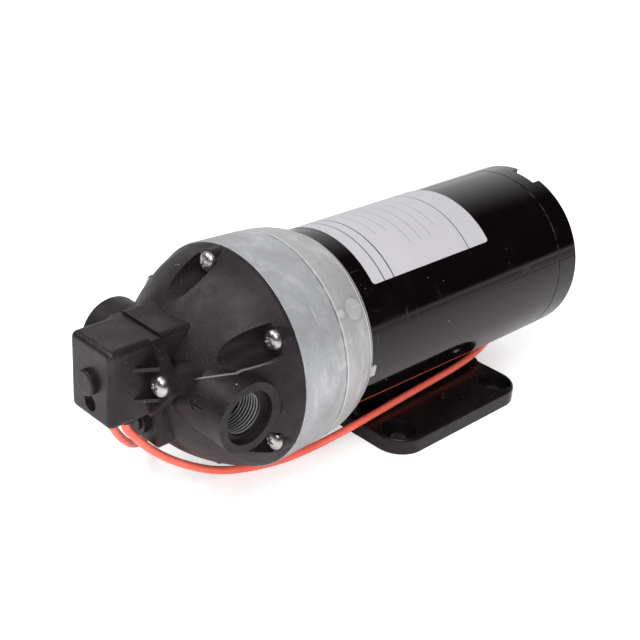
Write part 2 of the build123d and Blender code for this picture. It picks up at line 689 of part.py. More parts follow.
def port_cut(side):
    """Spot face, mouth, threaded bore and inner way of one port."""
    def reach(radius, y_out, y_in):
        low = min(side * y_out, side * y_in)
        return along_y(radius, low, abs(y_out - y_in), PORT_X, PORT_Z)

    beyond = DOME_R + OVERRUN
    mouth_end = PORT_FACE_Y - PORT_MOUTH_DEPTH
    thread_end = mouth_end - PORT_THREAD_LENGTH
    way_end = 0.0 if side < 0 else DIVIDER_R + DIVIDER_WALL / 2
    cut = reach(PORT_SPOT_R, beyond, PORT_FACE_Y)
    cut += reach(PORT_MOUTH_R, beyond, mouth_end)
    cut += reach(PORT_THREAD_R, beyond, thread_end)
    cut += reach(PORT_WAY_R, beyond, way_end)
    return cut


def head_screws():
    """Six pan head screws that clamp the head to the drive ring."""
    screw = pan_screw(SCREW_R, SCREW_SEAT + SCREW_DEPTH, SCREW_HEAD_R, SCREW_HEAD_H)
    places = [polar(angle, SCREW_CIRCLE_R) for angle in SCREW_ANGLES]
    return [facing_front(SEAT_X, y, z) * screw for y, z in places]


def head_gasket():
    """Flat ring gasket between the dome's rim and the valve plate."""
    return tube(STACK_R, GASKET_IN_R, GASKET_X + FIT_GAP, GASKET_T - 2 * FIT_GAP)


def valve_places(offset):
    """Y and Z of one valve in each chamber, moved outwards by an offset."""
    return [polar(angle, CHAMBER_CIRCLE_R + offset) for angle in CHAMBER_ANGLES]


def valve_plate():
    """Plate with three pump chambers and six ringed valve seats."""
    plate = along_x(STACK_R, VALVE_PLATE_X, VALVE_PLATE_T)
    for angle in CHAMBER_ANGLES:
        y, z = polar(angle, CHAMBER_CIRCLE_R)
        plate -= along_x(POCKET_R, POCKET_X, POCKET_DEPTH + OVERRUN, y, z)
    for y, z in valve_places(-INLET_OFFSET) + valve_places(INLET_OFFSET):
        plate -= along_x(VALVE_STEM_R + RUN_GAP, VALVE_PLATE_X - OVERRUN, VALVE_PLATE_T, y, z)
        for i in range(VALVE_WAYS):
            turn = math.tau * i / VALVE_WAYS
            dy = VALVE_WAY_CIRCLE_R * math.cos(turn)
            dz = VALVE_WAY_CIRCLE_R * math.sin(turn)
            plate -= along_x(VALVE_WAY_R, VALVE_PLATE_X - OVERRUN, VALVE_PLATE_T, y + dy, z + dz)
    return plate


def valves(outlet):
    """Three mushroom valves, their discs before the plate (outlet) or behind its web (inlet)."""
    offset = -INLET_OFFSET if outlet else INLET_OFFSET
    web = VALVE_PLATE_T - POCKET_DEPTH
    solids = []
    for y, z in valve_places(offset):
        if outlet:
            disc = along_x(VALVE_DISC_R, VALVE_PLATE_X - FIT_GAP - VALVE_DISC_T, VALVE_DISC_T, y, z)
            stem = along_x(VALVE_STEM_R, VALVE_PLATE_X - VALVE_DISC_T, web + VALVE_DISC_T + VALVE_TAIL, y, z)
        else:
            disc = along_x(VALVE_DISC_R, POCKET_X + FIT_GAP, VALVE_DISC_T, y, z)
            stem = along_x(VALVE_STEM_R, VALVE_PLATE_X - VALVE_TAIL, web + VALVE_DISC_T + VALVE_TAIL, y, z)
        solids.append(disc + stem)
    return solids


def lying_disc(radius, x, y, z, ride):
    """Circular face across the shaft line, tilted with the wobble plate when it rides on it."""
    face = Plane(origin=(x, y, z), x_dir=(0, 1, 0), z_dir=(1, 0, 0)) * Circle(radius)
    return tilted(face) if ride else face


def diaphragm():
    """Rubber diaphragm as it lies at rest: flat web, three discs carried by the wobble plate."""
    front = DIAPHRAGM_X
    rear = DIAPHRAGM_X + DIAPHRAGM_T
    sheet = along_x(STACK_R, front, DIAPHRAGM_T)
    for angle in CHAMBER_ANGLES:
        y, z = polar(angle, CHAMBER_CIRCLE_R)
        shape = [
            loft([lying_disc(POCKET_R, x, y, z, False), lying_disc(DISC_R, x, y, z, True)])
            for x in (front, rear)
        ]
        forward = math.sin(math.radians(angle)) > 0
        bump, dish = (shape[0], shape[1]) if forward else (shape[1], shape[0])
        sheet = sheet + bump - dish
    for angle in CHAMBER_ANGLES:
        y, z = polar(angle, CHAMBER_CIRCLE_R)
        hole = along_x(PISTON_SCREW_R + STACK_GAP, CAP_X, PAD_X - CAP_X + OVERRUN, y, z)
        sheet -= tilted(hole)
    return sheet


def clamp_plate():
    """Plate that clamps the diaphragm against the valve plate, open behind each chamber."""
    plate = tube(STACK_R, CLAMP_CENTRE_R, CLAMP_X, CLAMP_T)
    for angle in CHAMBER_ANGLES:
        y, z = polar(angle, CHAMBER_CIRCLE_R)
        plate -= along_x(CLAMP_HOLE_R, CLAMP_X - OVERRUN, CLAMP_T + 2 * OVERRUN, y, z)
    return plate


def piston_caps():
    """Three round caps on the water side of the diaphragm."""
    solids = []
    for angle in CHAMBER_ANGLES:
        y, z = polar(angle, CHAMBER_CIRCLE_R)
        solids.append(tilted(tube(CAP_R, PISTON_SCREW_R + RUN_GAP, CAP_X, CAP_T, y, z)))
    return solids


def piston_screws():
    """Three screws that clamp cap, diaphragm and wobble plate together."""
    screw = pan_screw(
        PISTON_SCREW_R, PISTON_SCREW_L, PISTON_SCREW_HEAD_R, PISTON_SCREW_HEAD_H, PISTON_SCREW_EDGE_R
    )
    places = [polar(angle, CHAMBER_CIRCLE_R) for angle in CHAMBER_ANGLES]
    return [tilted(facing_front(CAP_X, y, z) * screw) for y, z in places]


def wobble_plate():
    """Wobble plate: bearing hub and three piston pads that reach through the clamp plate."""
    plate = along_x(HUB_R, HUB_X, HUB_T)
    for angle in CHAMBER_ANGLES:
        y, z = polar(angle, CHAMBER_CIRCLE_R)
        plate += along_x(PAD_R, PAD_X, PAD_LENGTH, y, z)
    plate -= along_x(CAM_BEARING_R + FIT_GAP, HUB_X - HUB_LEAD - OVERRUN, HUB_LEAD + CAM_BEARING_W + OVERRUN)
    plate -= along_x(CAM_BEARING_R - CAM_FLANGE_T, HUB_X, HUB_T + PAD_LENGTH)
    for angle in CHAMBER_ANGLES:
        y, z = polar(angle, CHAMBER_CIRCLE_R)
        depth = PISTON_SCREW_L - CAP_T - DIAPHRAGM_T
        plate -= along_x(PISTON_SCREW_R + RUN_GAP, PAD_X - OVERRUN, depth + OVERRUN, y, z)
    return tilted(plate)


def ball_bearing(radius, bore_r, start, width):
    """Ball bearing as one ring with the dished face of its seals."""
    ring = tube(radius, bore_r, start, width)
    groove_out = (radius + bore_r) / 2 + BEARING_GROOVE_W
    groove_in = (radius + bore_r) / 2 - BEARING_GROOVE_W
    for x in (start - OVERRUN, start + width - BEARING_GROOVE):
        ring -= tube(groove_out, groove_in, x, BEARING_GROOVE + OVERRUN)
    return ring


def cam():
    """Sleeve on the shaft with an inclined journal and a shoulder behind it."""
    journal = tilted(along_x(CAM_BEARING_BORE_R - RUN_GAP, HUB_X - RUN_GAP, CAM_BEARING_W + CAM_TILT_ROOM))
    flange_x = HUB_X + CAM_BEARING_W + CAM_TILT_ROOM
    flange = along_x(CAM_FLANGE_R, flange_x, CAM_FLANGE_T)
    neck = along_x(CAM_BEARING_BORE_R - RUN_GAP, flange_x - CAM_TILT_ROOM / 2, CAM_TILT_ROOM)
    bore = along_x(SHAFT_R + FIT_GAP, HUB_X - BEARING_W, CAM_BEARING_W + 2 * BEARING_W)
    return journal + neck + flange - bore


def motor_shaft():
    """Steel shaft from the cam to the rear bearing."""
    shaft = along_x(SHAFT_R, SHAFT_START, SHAFT_END - SHAFT_START)
    return chamfer(shaft.edges().filter_by(GeomType.CIRCLE), SHAFT_EDGE)


def mount_plate():
    """Steel end plate crimped in the can's mouth, which the ring is screwed to."""
    plate = tube(CAN_BORE_R - STACK_GAP, SHAFT_HOLE_R, MOUNT_PLATE_X, MOUNT_PLATE_T)
    for angle in CHAMBER_ANGLES:
        y, z = polar(angle, MOUNT_SCREW_CIRCLE_R)
        plate -= along_x(MOUNT_SCREW_R + RUN_GAP, MOUNT_PLATE_X - OVERRUN, 2 * BORE_R, y, z)
    return plate


def mount_screws():
    """Three screws through the ring's wall into the can's end plate."""
    length = MOUNT_PLATE_X + MOUNT_PLATE_T - WALL_X
    screw = pan_screw(MOUNT_SCREW_R, length, MOUNT_SCREW_HEAD_R, MOUNT_SCREW_HEAD_H)
    places = [polar(angle, MOUNT_SCREW_CIRCLE_R) for angle in CHAMBER_ANGLES]
    return [facing_front(WALL_X, y, z) * screw for y, z in places]


def magnets():
    """Two arc magnets bonded to the can's bore, one on each side."""
    ring = tube(CAN_BORE_R - FIT_GAP, MAGNET_IN_R, MAGNET_X, MAGNET_LENGTH)
    reach = 2 * CAN_R
    rise = reach * math.tan(math.radians(MAGNET_SPAN / 4))
    side = Plane(origin=(MAGNET_X - OVERRUN, 0, AXIS_Z), x_dir=(0, 1, 0), z_dir=(1, 0, 0))
    solids = []
    for way in (-1, 1):
        half = math.radians(MAGNET_SPAN / 2)
        wedge = Polyline(
            (0, 0), (way * reach * math.cos(half), -reach * math.sin(half)),
            (way * 2 * reach, -rise), (way * 2 * reach, rise),
            (way * reach * math.cos(half), reach * math.sin(half)), close=True,
        )
        prism = extrude(side * make_face(wedge), MAGNET_LENGTH + 2 * OVERRUN)
        solids.append(ring & prism)
    return solids


def armature_core():
    """Slotted iron stack of the armature."""
    radius = MAGNET_IN_R - AIR_GAP
    core = tube(radius, SHAFT_R + FIT_GAP, CORE_X, CORE_LENGTH)
    slot = block(
        CORE_X - OVERRUN, CORE_X + CORE_LENGTH + OVERRUN,
        -radius - OVERRUN, -SLOT_FLOOR_R, AXIS_Z - SLOT_W / 2, AXIS_Z + SLOT_W / 2,
    )
    for i in range(CORE_SLOTS):
        core -= around(slot, 360 / CORE_SLOTS * i)
    return core


def armature_windings():
    """Copper in the slots, joined by the bundles at both ends of the stack."""
    front_x = CORE_X - FIT_GAP - END_TURN_L
    rear_x = CORE_X + CORE_LENGTH + FIT_GAP
    copper = tube(END_TURN_R, END_TURN_IN_R, front_x, END_TURN_L)
    copper += tube(END_TURN_R, END_TURN_IN_R, rear_x, END_TURN_L)
    half = SLOT_W / 2 - SLOT_FILL
    bar = block(
        front_x + END_TURN_L / 2, rear_x + END_TURN_L / 2,
        -END_TURN_R, -SLOT_FLOOR_R - SLOT_FILL, AXIS_Z - half, AXIS_Z + half,
    )
    for i in range(CORE_SLOTS):
        copper += around(bar, 360 / CORE_SLOTS * i)
    return copper


def commutator():
    """Segmented commutator on the shaft."""
    ring = tube(COMMUTATOR_R, SHAFT_R + FIT_GAP, COMMUTATOR_X, COMMUTATOR_L)
    cut = block(
        COMMUTATOR_X - OVERRUN, COMMUTATOR_X + COMMUTATOR_L + OVERRUN,
        -COMMUTATOR_R - OVERRUN, -COMMUTATOR_R + COMMUTATOR_SLOT,
        AXIS_Z - COMMUTATOR_SLOT / 2, AXIS_Z + COMMUTATOR_SLOT / 2,
    )
    for i in range(CORE_SLOTS):
        ring -= around(cut, 360 / CORE_SLOTS * i)
    return ring


def brush_holder():
    """Insulating plate behind the commutator with a channel for each brush."""
    start = COMMUTATOR_X + COMMUTATOR_L + STACK_GAP
    plate = tube(CAN_BORE_R - STACK_GAP, HOLDER_HOLE_R, start, HOLDER_T)
    half = BRUSH_W / 2 + RUN_GAP
    low = AXIS_Z + HOLDER_HOLE_R
    high = AXIS_Z + COMMUTATOR_R + BRUSH_H + BRUSH_SPRING_L
    x0 = COMMUTATOR_X + (COMMUTATOR_L - BRUSH_L) / 2 - RUN_GAP
    x1 = x0 + BRUSH_L + 2 * RUN_GAP
    wide = half + BRUSH_WALL
    case = block(x0 - BRUSH_WALL, start + OVERRUN, -wide, wide, low, high + BRUSH_WALL)
    case -= block(x0, x1, -half, half, low - OVERRUN, high + STACK_GAP)
    return plate + case + mirror(case, Plane(origin=(0, 0, AXIS_Z), z_dir=(0, 0, 1)))


def brushes():
    """Two carbon brushes, above and below the commutator."""
    x0 = COMMUTATOR_X + (COMMUTATOR_L - BRUSH_L) / 2
    low = AXIS_Z + COMMUTATOR_R + RUN_GAP - COMMUTATOR_SLOT
    brush = block(x0, x0 + BRUSH_L, -BRUSH_W / 2, BRUSH_W / 2, low, AXIS_Z + COMMUTATOR_R + BRUSH_H)
    brush -= along_x(COMMUTATOR_R + RUN_GAP, x0 - OVERRUN, BRUSH_L + 2 * OVERRUN)
    return [brush, mirror(brush, Plane(origin=(0, 0, AXIS_Z), z_dir=(0, 0, 1)))]


def brush_springs():
    """Coil springs that press the brushes inwards."""
    length = BRUSH_SPRING_L - STACK_GAP
    coil = spring(0, length, BRUSH_SPRING_R, SPRING_WIRE_R, BRUSH_SPRING_TURNS, 0, 0)
    x = COMMUTATOR_X + COMMUTATOR_L / 2
    upper = Pos(x, 0, AXIS_Z + COMMUTATOR_R + BRUSH_H + STACK_GAP / 2) * Rot(0, -90, 0) * coil
    return [upper, mirror(upper, Plane(origin=(0, 0, AXIS_Z), z_dir=(0, 0, 1)))]


def end_bell():
    """Rear end bell: skirted disc with the bearing seat inside and a capped hub outside."""
    disc_x = BELL_FACE_X - BELL_T
    outer = CAN_BORE_R - STACK_GAP
    bell = along_x(outer, disc_x, BELL_T)
    bell += tube(outer, outer - BELL_WALL, BELL_FACE_X - BELL_SKIRT, BELL_SKIRT - BELL_T / 2)
    bell += along_x(BEARING_SEAT_R, REAR_BEARING_X, BEARING_W + BELL_T / 2)
    cap = along_x(BELL_CAP_R, BELL_FACE_X - BELL_T / 2, BELL_T / 2 + BELL_CAP_T)
    bell += fillet(cap.edges().group_by(Axis.X)[-1], BELL_CAP_T / 2)
    rib = block(
        BELL_FACE_X - BELL_T / 2, BELL_FACE_X + BELL_RIB_H,
        -outer + BELL_WALL, -BELL_CAP_R / 2, AXIS_Z - BELL_RIB_T / 2, AXIS_Z + BELL_RIB_T / 2,
    )
    for i in range(BELL_RIBS):
        bell += around(rib, 360 / BELL_RIBS * i + NOTCH_ANGLE - 180 / BELL_RIBS)
    bell -= along_x(BEARING_R + FIT_GAP, REAR_BEARING_X - OVERRUN, BEARING_W + OVERRUN)
    clear = block(
        CAN_REAR_X - NOTCH_DEPTH - BELL_SKIRT, CAN_REAR_X + OVERRUN,
        -CAN_R, -CAN_BORE_R + BELL_WALL + OVERRUN,
        AXIS_Z - LEAD_NOTCH_W / 2, AXIS_Z + LEAD_NOTCH_W / 2,
    )
    return bell - around(clear, LEAD_ANGLE)


def switch_outline():
    """Flange outline in Y and Z: the box's height narrowing to a round ear on each side."""
    half = SWITCH_W / 2
    low = AXIS_Z + SWITCH_LOW
    high = AXIS_Z + SWITCH_HIGH
    corners = [(half, high), (-half, high), (-half, low), (half, low)]
    ears = [Pos(side * EAR_HALF_SPAN, EAR_Z) * Circle(EAR_R) for side in (-1, 1)]
    body = make_face(Polyline(*corners, close=True))
    return make_hull((body + ears).edges())


def switch_cover():
    """Moulded switch cover: rounded box open at the rear, eared flange, knob and sunk hole."""
    half = SWITCH_W / 2
    low = AXIS_Z + SWITCH_LOW
    high = AXIS_Z + SWITCH_HIGH
    box = block(SWITCH_FRONT_X, FLANGE_REAR_X, -half, half, low, high)
    long_edges = box.edges().filter_by(Axis.X)
    box = fillet(long_edges, SWITCH_ROUND_R)
    box = fillet(box.edges().group_by(Axis.X)[0], SWITCH_FACE_ROUND_R)
    side = Plane(origin=(FLANGE_REAR_X - EAR_T, 0, 0), x_dir=(0, 1, 0), z_dir=(1, 0, 0))
    box += extrude(side * switch_outline(), EAR_T)
    for way in (-1, 1):
        for rise in (-EAR_GUSSET_RISE, EAR_GUSSET_RISE):
            box += ear_gusset(way, EAR_Z + rise)
    knob = along_x(SWITCH_KNOB_R, SWITCH_FRONT_X - SWITCH_KNOB_T, SWITCH_KNOB_T + SWITCH_WALL, 0, EAR_Z)
    box += fillet(knob.edges().group_by(Axis.X)[0], SWITCH_KNOB_EDGE_R)
    inner = block(
        SWITCH_FRONT_X + SWITCH_WALL, FLANGE_REAR_X + OVERRUN,
        -half + SWITCH_WALL, half - SWITCH_WALL, low + SWITCH_WALL, high - SWITCH_WALL,
    )
    wall_x = SWITCH_FRONT_X + SWITCH_WALL
    box -= inner - along_x(SWITCH_SLEEVE_R, wall_x, SWITCH_SLEEVE_L - SWITCH_WALL, 0, PLUNGER_Z)
    hole_length = SWITCH_KNOB_T + SWITCH_SLEEVE_L + OVERRUN
    box -= along_x(SWITCH_HOLE_R, SWITCH_FRONT_X - SWITCH_KNOB_T, hole_length, 0, PLUNGER_Z)
    for way in (-1, 1):
        x = FLANGE_REAR_X - EAR_T - OVERRUN
        box -= along_x(EAR_SCREW_R + JOINT_GAP, x, EAR_T + 2 * OVERRUN, way * EAR_HALF_SPAN, EAR_Z)
    x = FLANGE_REAR_X - SWITCH_EXIT
    cut = extrude(
        Plane(origin=(x, 0, low - OVERRUN)) * SlotOverall(GROMMET_WIDTH, GROMMET_LENGTH, rotation=90),
        SWITCH_WALL + 2 * OVERRUN,
    )
    return box - cut


def ear_gusset(way, z):
    """Small triangular rib from the box's side to an ear."""
    half = SWITCH_W / 2
    flange_x = FLANGE_REAR_X - EAR_T
    profile = Polyline(
        (flange_x, 0), (flange_x, way * (half + EAR_GUSSET_REACH)),
        (flange_x - EAR_GUSSET_L, way * half), (flange_x - EAR_GUSSET_L, 0), close=True,
    )
    rib = extrude(Plane(origin=(0, 0, z)) * make_face(profile), EAR_GUSSET_T / 2, both=True)
    core = half - SWITCH_WALL
    return rib - block(NOSE_X - 2 * SWITCH_LENGTH, NOSE_X, -core, core, 0, 2 * AXIS_Z)


def switch_screws():
    """Two pan head screws through the ears into the dome."""
    screw = pan_screw(EAR_SCREW_R, EAR_T + EAR_SCREW_DEPTH, SCREW_HEAD_R, SCREW_HEAD_H)
    x = FLANGE_REAR_X - EAR_T
    return [facing_front(x, way * EAR_HALF_SPAN, EAR_Z) * screw for way in (-1, 1)]


def switch_seal():
    """Small rubber diaphragm that the water pressure lifts."""
    return along_x(SEAL_R, NOSE_X + STACK_GAP, SEAL_T, 0, PLUNGER_Z)


def switch_base():
    """Inner plate of the switch: guides the plunger and carries the snap switch."""
    half = SWITCH_W / 2 - SWITCH_WALL - STACK_GAP
    low = AXIS_Z + SWITCH_LOW + SWITCH_WALL + STACK_GAP
    high = AXIS_Z + SWITCH_HIGH - SWITCH_WALL - STACK_GAP
    start = FLANGE_REAR_X - BASE_T
    plate = block(start, FLANGE_REAR_X, -half, half, low, high)
    shelf_z = AXIS_Z + MICRO_HIGH + STACK_GAP
    plate += block(start - MICRO_LENGTH, start + STACK_GAP, -MICRO_W / 2, MICRO_W / 2, shelf_z, high)
    plate -= along_x(BASE_RECESS_R, FLANGE_REAR_X - BASE_RECESS, BASE_RECESS + OVERRUN, 0, PLUNGER_Z)
    return plate - along_x(PLUNGER_R + RUN_GAP, start - OVERRUN, BASE_T + 2 * OVERRUN, 0, PLUNGER_Z)


def switch_plunger():
    """Plunger on the small diaphragm, with a finger that works the snap switch."""
    foot_x = FLANGE_REAR_X - PLUNGER_FOOT_T
    tip_x = foot_x - PLUNGER_LENGTH
    plunger = along_x(PLUNGER_FOOT_R, foot_x, PLUNGER_FOOT_T, 0, PLUNGER_Z)
    plunger += along_x(PLUNGER_R, tip_x, PLUNGER_LENGTH + PLUNGER_FOOT_T / 2, 0, PLUNGER_Z)
    half = FINGER_W / 2
    return plunger + block(tip_x, tip_x + FINGER_T, -half, half, PLUNGER_Z - half, AXIS_Z + FINGER_TOP)


def micro_switch():
    """Snap switch body that hangs from the base plate's shelf."""
    end = finger_front() - BUTTON_L + RUN_GAP * 2
    body = block(
        end - MICRO_LENGTH, end, -MICRO_W / 2, MICRO_W / 2, AXIS_Z + MICRO_LOW, AXIS_Z + MICRO_HIGH
    )
    return body - along_x(BUTTON_R + RUN_GAP, end - BUTTON_L, BUTTON_L + OVERRUN, 0, AXIS_Z + BUTTON_Z)


def finger_front():
    """X of the plunger finger's face towards the snap switch."""
    return FLANGE_REAR_X - PLUNGER_FOOT_T - PLUNGER_LENGTH


def micro_button():
    """Button of the snap switch, just clear of the plunger's finger."""
    end = finger_front() - STACK_GAP
    return along_x(BUTTON_R, end - BUTTON_L, BUTTON_L, 0, AXIS_Z + BUTTON_Z)


def adjuster():
    """Sunk pressure adjusting screw with a hexagon socket."""
    start = SWITCH_FRONT_X + ADJUSTER_SINK
    screw = along_x(SWITCH_HOLE_R - RUN_GAP, start, ADJUSTER_L, 0, PLUNGER_Z)
    socket = extrude(facing_front(start, 0, PLUNGER_Z) * RegularPolygon(HEX_HALF, 6), -HEX_DEPTH)
    return screw - socket


def switch_spring():
    """Range spring between the adjusting screw and the plunger."""
    start = SWITCH_FRONT_X + ADJUSTER_SINK + ADJUSTER_L + STACK_GAP
    length = finger_front() - STACK_GAP - start
    return spring(start, length, SPRING_R, SPRING_WIRE_R, SPRING_TURNS, 0, PLUNGER_Z)


def switch_grommet():
    """Oval rubber grommet in the switch's floor, for both leads."""
    x = FLANGE_REAR_X - SWITCH_EXIT
    low = AXIS_Z + SWITCH_LOW
    inner = SlotOverall(GROMMET_WIDTH - 2 * RUN_GAP, GROMMET_LENGTH - 2 * RUN_GAP, rotation=90)
    lip = SlotOverall(GROMMET_WIDTH + GROMMET_LIP, GROMMET_LENGTH + GROMMET_LIP, rotation=90)
    body = extrude(Plane(origin=(x, 0, low - FIT_GAP)) * lip, -GROMMET_DROP)
    return body + extrude(Plane(origin=(x, 0, low - GROMMET_DROP)) * inner, GROMMET_DROP + SWITCH_WALL)


def bypass_cap():
    """Stepped cap that closes the bypass bore on the pedestal's front."""
    z = AXIS_Z + BYPASS_Z
    cap = along_x(BYPASS_CAP_R, NOSE_X - FIT_GAP - BYPASS_CAP_T, BYPASS_CAP_T, 0, z)
    cap += along_x(BYPASS_NOSE_R, NOSE_X - BYPASS_CAP_T - BYPASS_NOSE_T, BYPASS_CAP_T, 0, z)
    return cap + along_x(BYPASS_BORE_R - RUN_GAP, NOSE_X - BYPASS_CAP_T / 2, BYPASS_PLUG, 0, z)


def bypass_poppet():
    """Poppet that seats on the bypass hole."""
    z = AXIS_Z + BYPASS_Z
    seat_x = NOSE_X + BYPASS_DEPTH - FIT_GAP
    body = along_x(BYPASS_POPPET_R, seat_x - BYPASS_POPPET_L, BYPASS_POPPET_L, 0, z)
    return chamfer(body.edges().group_by(Axis.X)[-1], BYPASS_STEP)


def bypass_spring():
    """Spring behind the bypass poppet."""
    start = NOSE_X - BYPASS_CAP_T / 2 + BYPASS_PLUG + STACK_GAP
    end = NOSE_X + BYPASS_DEPTH - BYPASS_POPPET_L - STACK_GAP
    radius = BYPASS_BORE_R - BYPASS_WIRE_R - JOINT_GAP
    return spring(start, end - start, radius, BYPASS_WIRE_R, SPRING_TURNS, 0, AXIS_Z + BYPASS_Z)


# Both leads leave the switch's floor square to it, one on each side of its middle
LEAD_EXIT_X = FLANGE_REAR_X - SWITCH_EXIT
LEAD_EXIT_Z = AXIS_Z + SWITCH_LOW - GROMMET_DROP - FIT_GAP
LEAD_END_X = CAN_REAR_X - NOTCH_DEPTH + STACK_GAP
LEAD_END_Y, LEAD_END_Z = polar(LEAD_ANGLE, CAN_R + LEAD_R + LEAD_LIFT)

# Motor lead: down under the head, over the front edge of the foot plate, along the rib
# feet, close under the can and into the boot at its rear edge
MOTOR_LEAD_ROUTE = [
    (LEAD_EXIT_X, -LEAD_SIDE, LEAD_EXIT_Z),
    (LEAD_EXIT_X, -LEAD_SIDE, 41.0),
    (-147.0, -6.0, 36.6),
    (-140.4, -6.0, 28.4),
    (-131.2, -6.0, 19.7),
    (-118.8, -6.1, 10.6),
    (-105.9, -7.0, 3.6),
    (-93.0, -10.9, 1.8),
    (-78.4, -14.9, 1.75),
    (-62.4, -18.0, 4.0),
    (-47.6, -22.0, 8.8),
    (-32.9, -21.2, 9.2),
    (-14.0, -20.0, 9.6),
    (5.6, -19.1, 10.1),
    (23.5, -18.4, 10.8),
    (37.5, -16.8, 11.8),
    (51.5, -12.4, 11.3),
    (62.2, LEAD_END_Y, LEAD_END_Z),
    (LEAD_END_X, LEAD_END_Y, LEAD_END_Z),
]

# Supply lead: down on the far side and along the floor behind the pump to its bare end
SUPPLY_LEAD_ROUTE = [
    (LEAD_EXIT_X, LEAD_SIDE, LEAD_EXIT_Z),
    (LEAD_EXIT_X, LEAD_SIDE, 41.0),
    (-148.0, 6.5, 35.8),
    (-142.8, 9.0, 27.5),
    (-135.5, 13.5, 18.5),
    (-126.0, 20.5, 9.8),
    (-115.0, 28.5, 4.0),
    (-103.0, 37.0, 1.9),
    (-89.0, 44.5, 1.75),
    (-73.0, 50.5, 1.8),
    (-54.0, 54.0, 1.75),
    (-34.0, 54.5, 1.8),
    (-14.0, 52.5, 1.75),
    (6.0, 52.0, 1.8),
    (24.0, 55.0, 1.75),
    (40.0, 61.0, 1.8),
]


def corner_radii(points):
    """As large an arc at each corner as its two runs allow."""
    radii = []
    for before, here, after in zip(points, points[1:], points[2:]):
        first = Vector(*here) - Vector(*before)
        second = Vector(*after) - Vector(*here)
        half_turn = math.radians(first.get_angle(second) / 2)
        radii.append(LEAD_SHARE * min(first.length, second.length) / math.tan(half_turn))
    return radii


def lead(points, name):
    """Round lead along straight runs joined by tangent arcs."""
    radii = corner_radii(points)
    path = FilletPolyline(*points, radius=radii)
    start = Plane(origin=path @ 0, z_dir=path % 0)
    solid = sweep(start * Circle(LEAD_R), path=path)
    expected = math.pi * LEAD_R**2 * path.length
    print(name, "radii", [round(radius, 1) for radius in radii])
    print(name, "length", round(path.length, 1), "volume share", round(solid.volume / expected, 4))
    return solid


def supply_strand():
    """Bare copper end of the supply lead."""
    end = Vector(*SUPPLY_LEAD_ROUTE[-1])
    aim = (end - Vector(*SUPPLY_LEAD_ROUTE[-2])).normalized()
    low = (Align.CENTER, Align.CENTER, Align.MIN)
    return Plane(origin=end, z_dir=aim) * Cylinder(STRAND_R, STRAND_L, align=low)


def motor_boot():
    """Rubber boot in the can's lower rear notch, where the motor lead goes in."""
    half = LEAD_NOTCH_W / 2 - STACK_GAP
    boot = block(
        LEAD_END_X, CAN_REAR_X - STACK_GAP, -CAN_R - BOOT_OUT, -CAN_BORE_R + BOOT_IN,
        AXIS_Z - half, AXIS_Z + half,
    )
    boot = fillet(boot.edges().filter_by(Axis.X).group_by(Axis.Y)[0], BOOT_ROUND_R)
    return around(boot, LEAD_ANGLE)


def save(name, shapes):
    """Write one node: a single solid, or a group of separate like solids."""
    solids = []
    for shape in shapes if isinstance(shapes, list) else [shapes]:
        solids += shape.solids()
    whole = solids[0] if len(solids) == 1 else Compound(children=solids)
    export_step(whole, f"parts/{name}.step")


def main():
    """Build every piece and write its file."""
    os.makedirs("parts", exist_ok=True)
    save("foot_plate", foot_plate())
    save("foot_screws", foot_screws())
    save("motor_can", motor_can())
    save("motor_label", motor_label())
    save("drive_ring", drive_ring())
    save("head_dome", head_dome())
    save("head_screws", head_screws())
    save("head_gasket", head_gasket())
    save("valve_plate", valve_plate())
    save("outlet_valves", valves(True))
    save("inlet_valves", valves(False))
    save("diaphragm", diaphragm())
    save("clamp_plate", clamp_plate())
    save("piston_caps", piston_caps())
    save("piston_screws", piston_screws())
    save("wobble_plate", wobble_plate())
    save("cam_bearing", tilted(ball_bearing(CAM_BEARING_R, CAM_BEARING_BORE_R, HUB_X, CAM_BEARING_W)))
    save("cam", cam())
    save("motor_shaft", motor_shaft())
    save("front_bearing", ball_bearing(BEARING_R, SHAFT_R + FIT_GAP, BEARING_X, BEARING_W))
    save("rear_bearing", ball_bearing(BEARING_R, SHAFT_R + FIT_GAP, REAR_BEARING_X, BEARING_W))
    save("mount_plate", mount_plate())
    save("mount_screws", mount_screws())
    save("motor_magnets", magnets())
    save("armature_core", armature_core())
    save("armature_windings", armature_windings())
    save("commutator", commutator())
    save("brush_holder", brush_holder())
    save("brushes", brushes())
    save("brush_springs", brush_springs())
    save("end_bell", end_bell())
    save("switch_cover", switch_cover())
    save("switch_screws", switch_screws())
    save("switch_seal", switch_seal())
    save("switch_base", switch_base())
    save("switch_plunger", switch_plunger())
    save("switch_spring", switch_spring())
    save("micro_switch", micro_switch())
    save("micro_button", micro_button())
    save("switch_adjuster", adjuster())
    save("switch_grommet", switch_grommet())
    save("bypass_cap", bypass_cap())
    save("bypass_poppet", bypass_poppet())
    save("bypass_spring", bypass_spring())
    save("motor_boot", motor_boot())
    save("motor_lead", lead(MOTOR_LEAD_ROUTE, "motor_lead"))
    save("supply_lead", lead(SUPPLY_LEAD_ROUTE, "supply_lead"))
    save("supply_strand", supply_strand())


main()
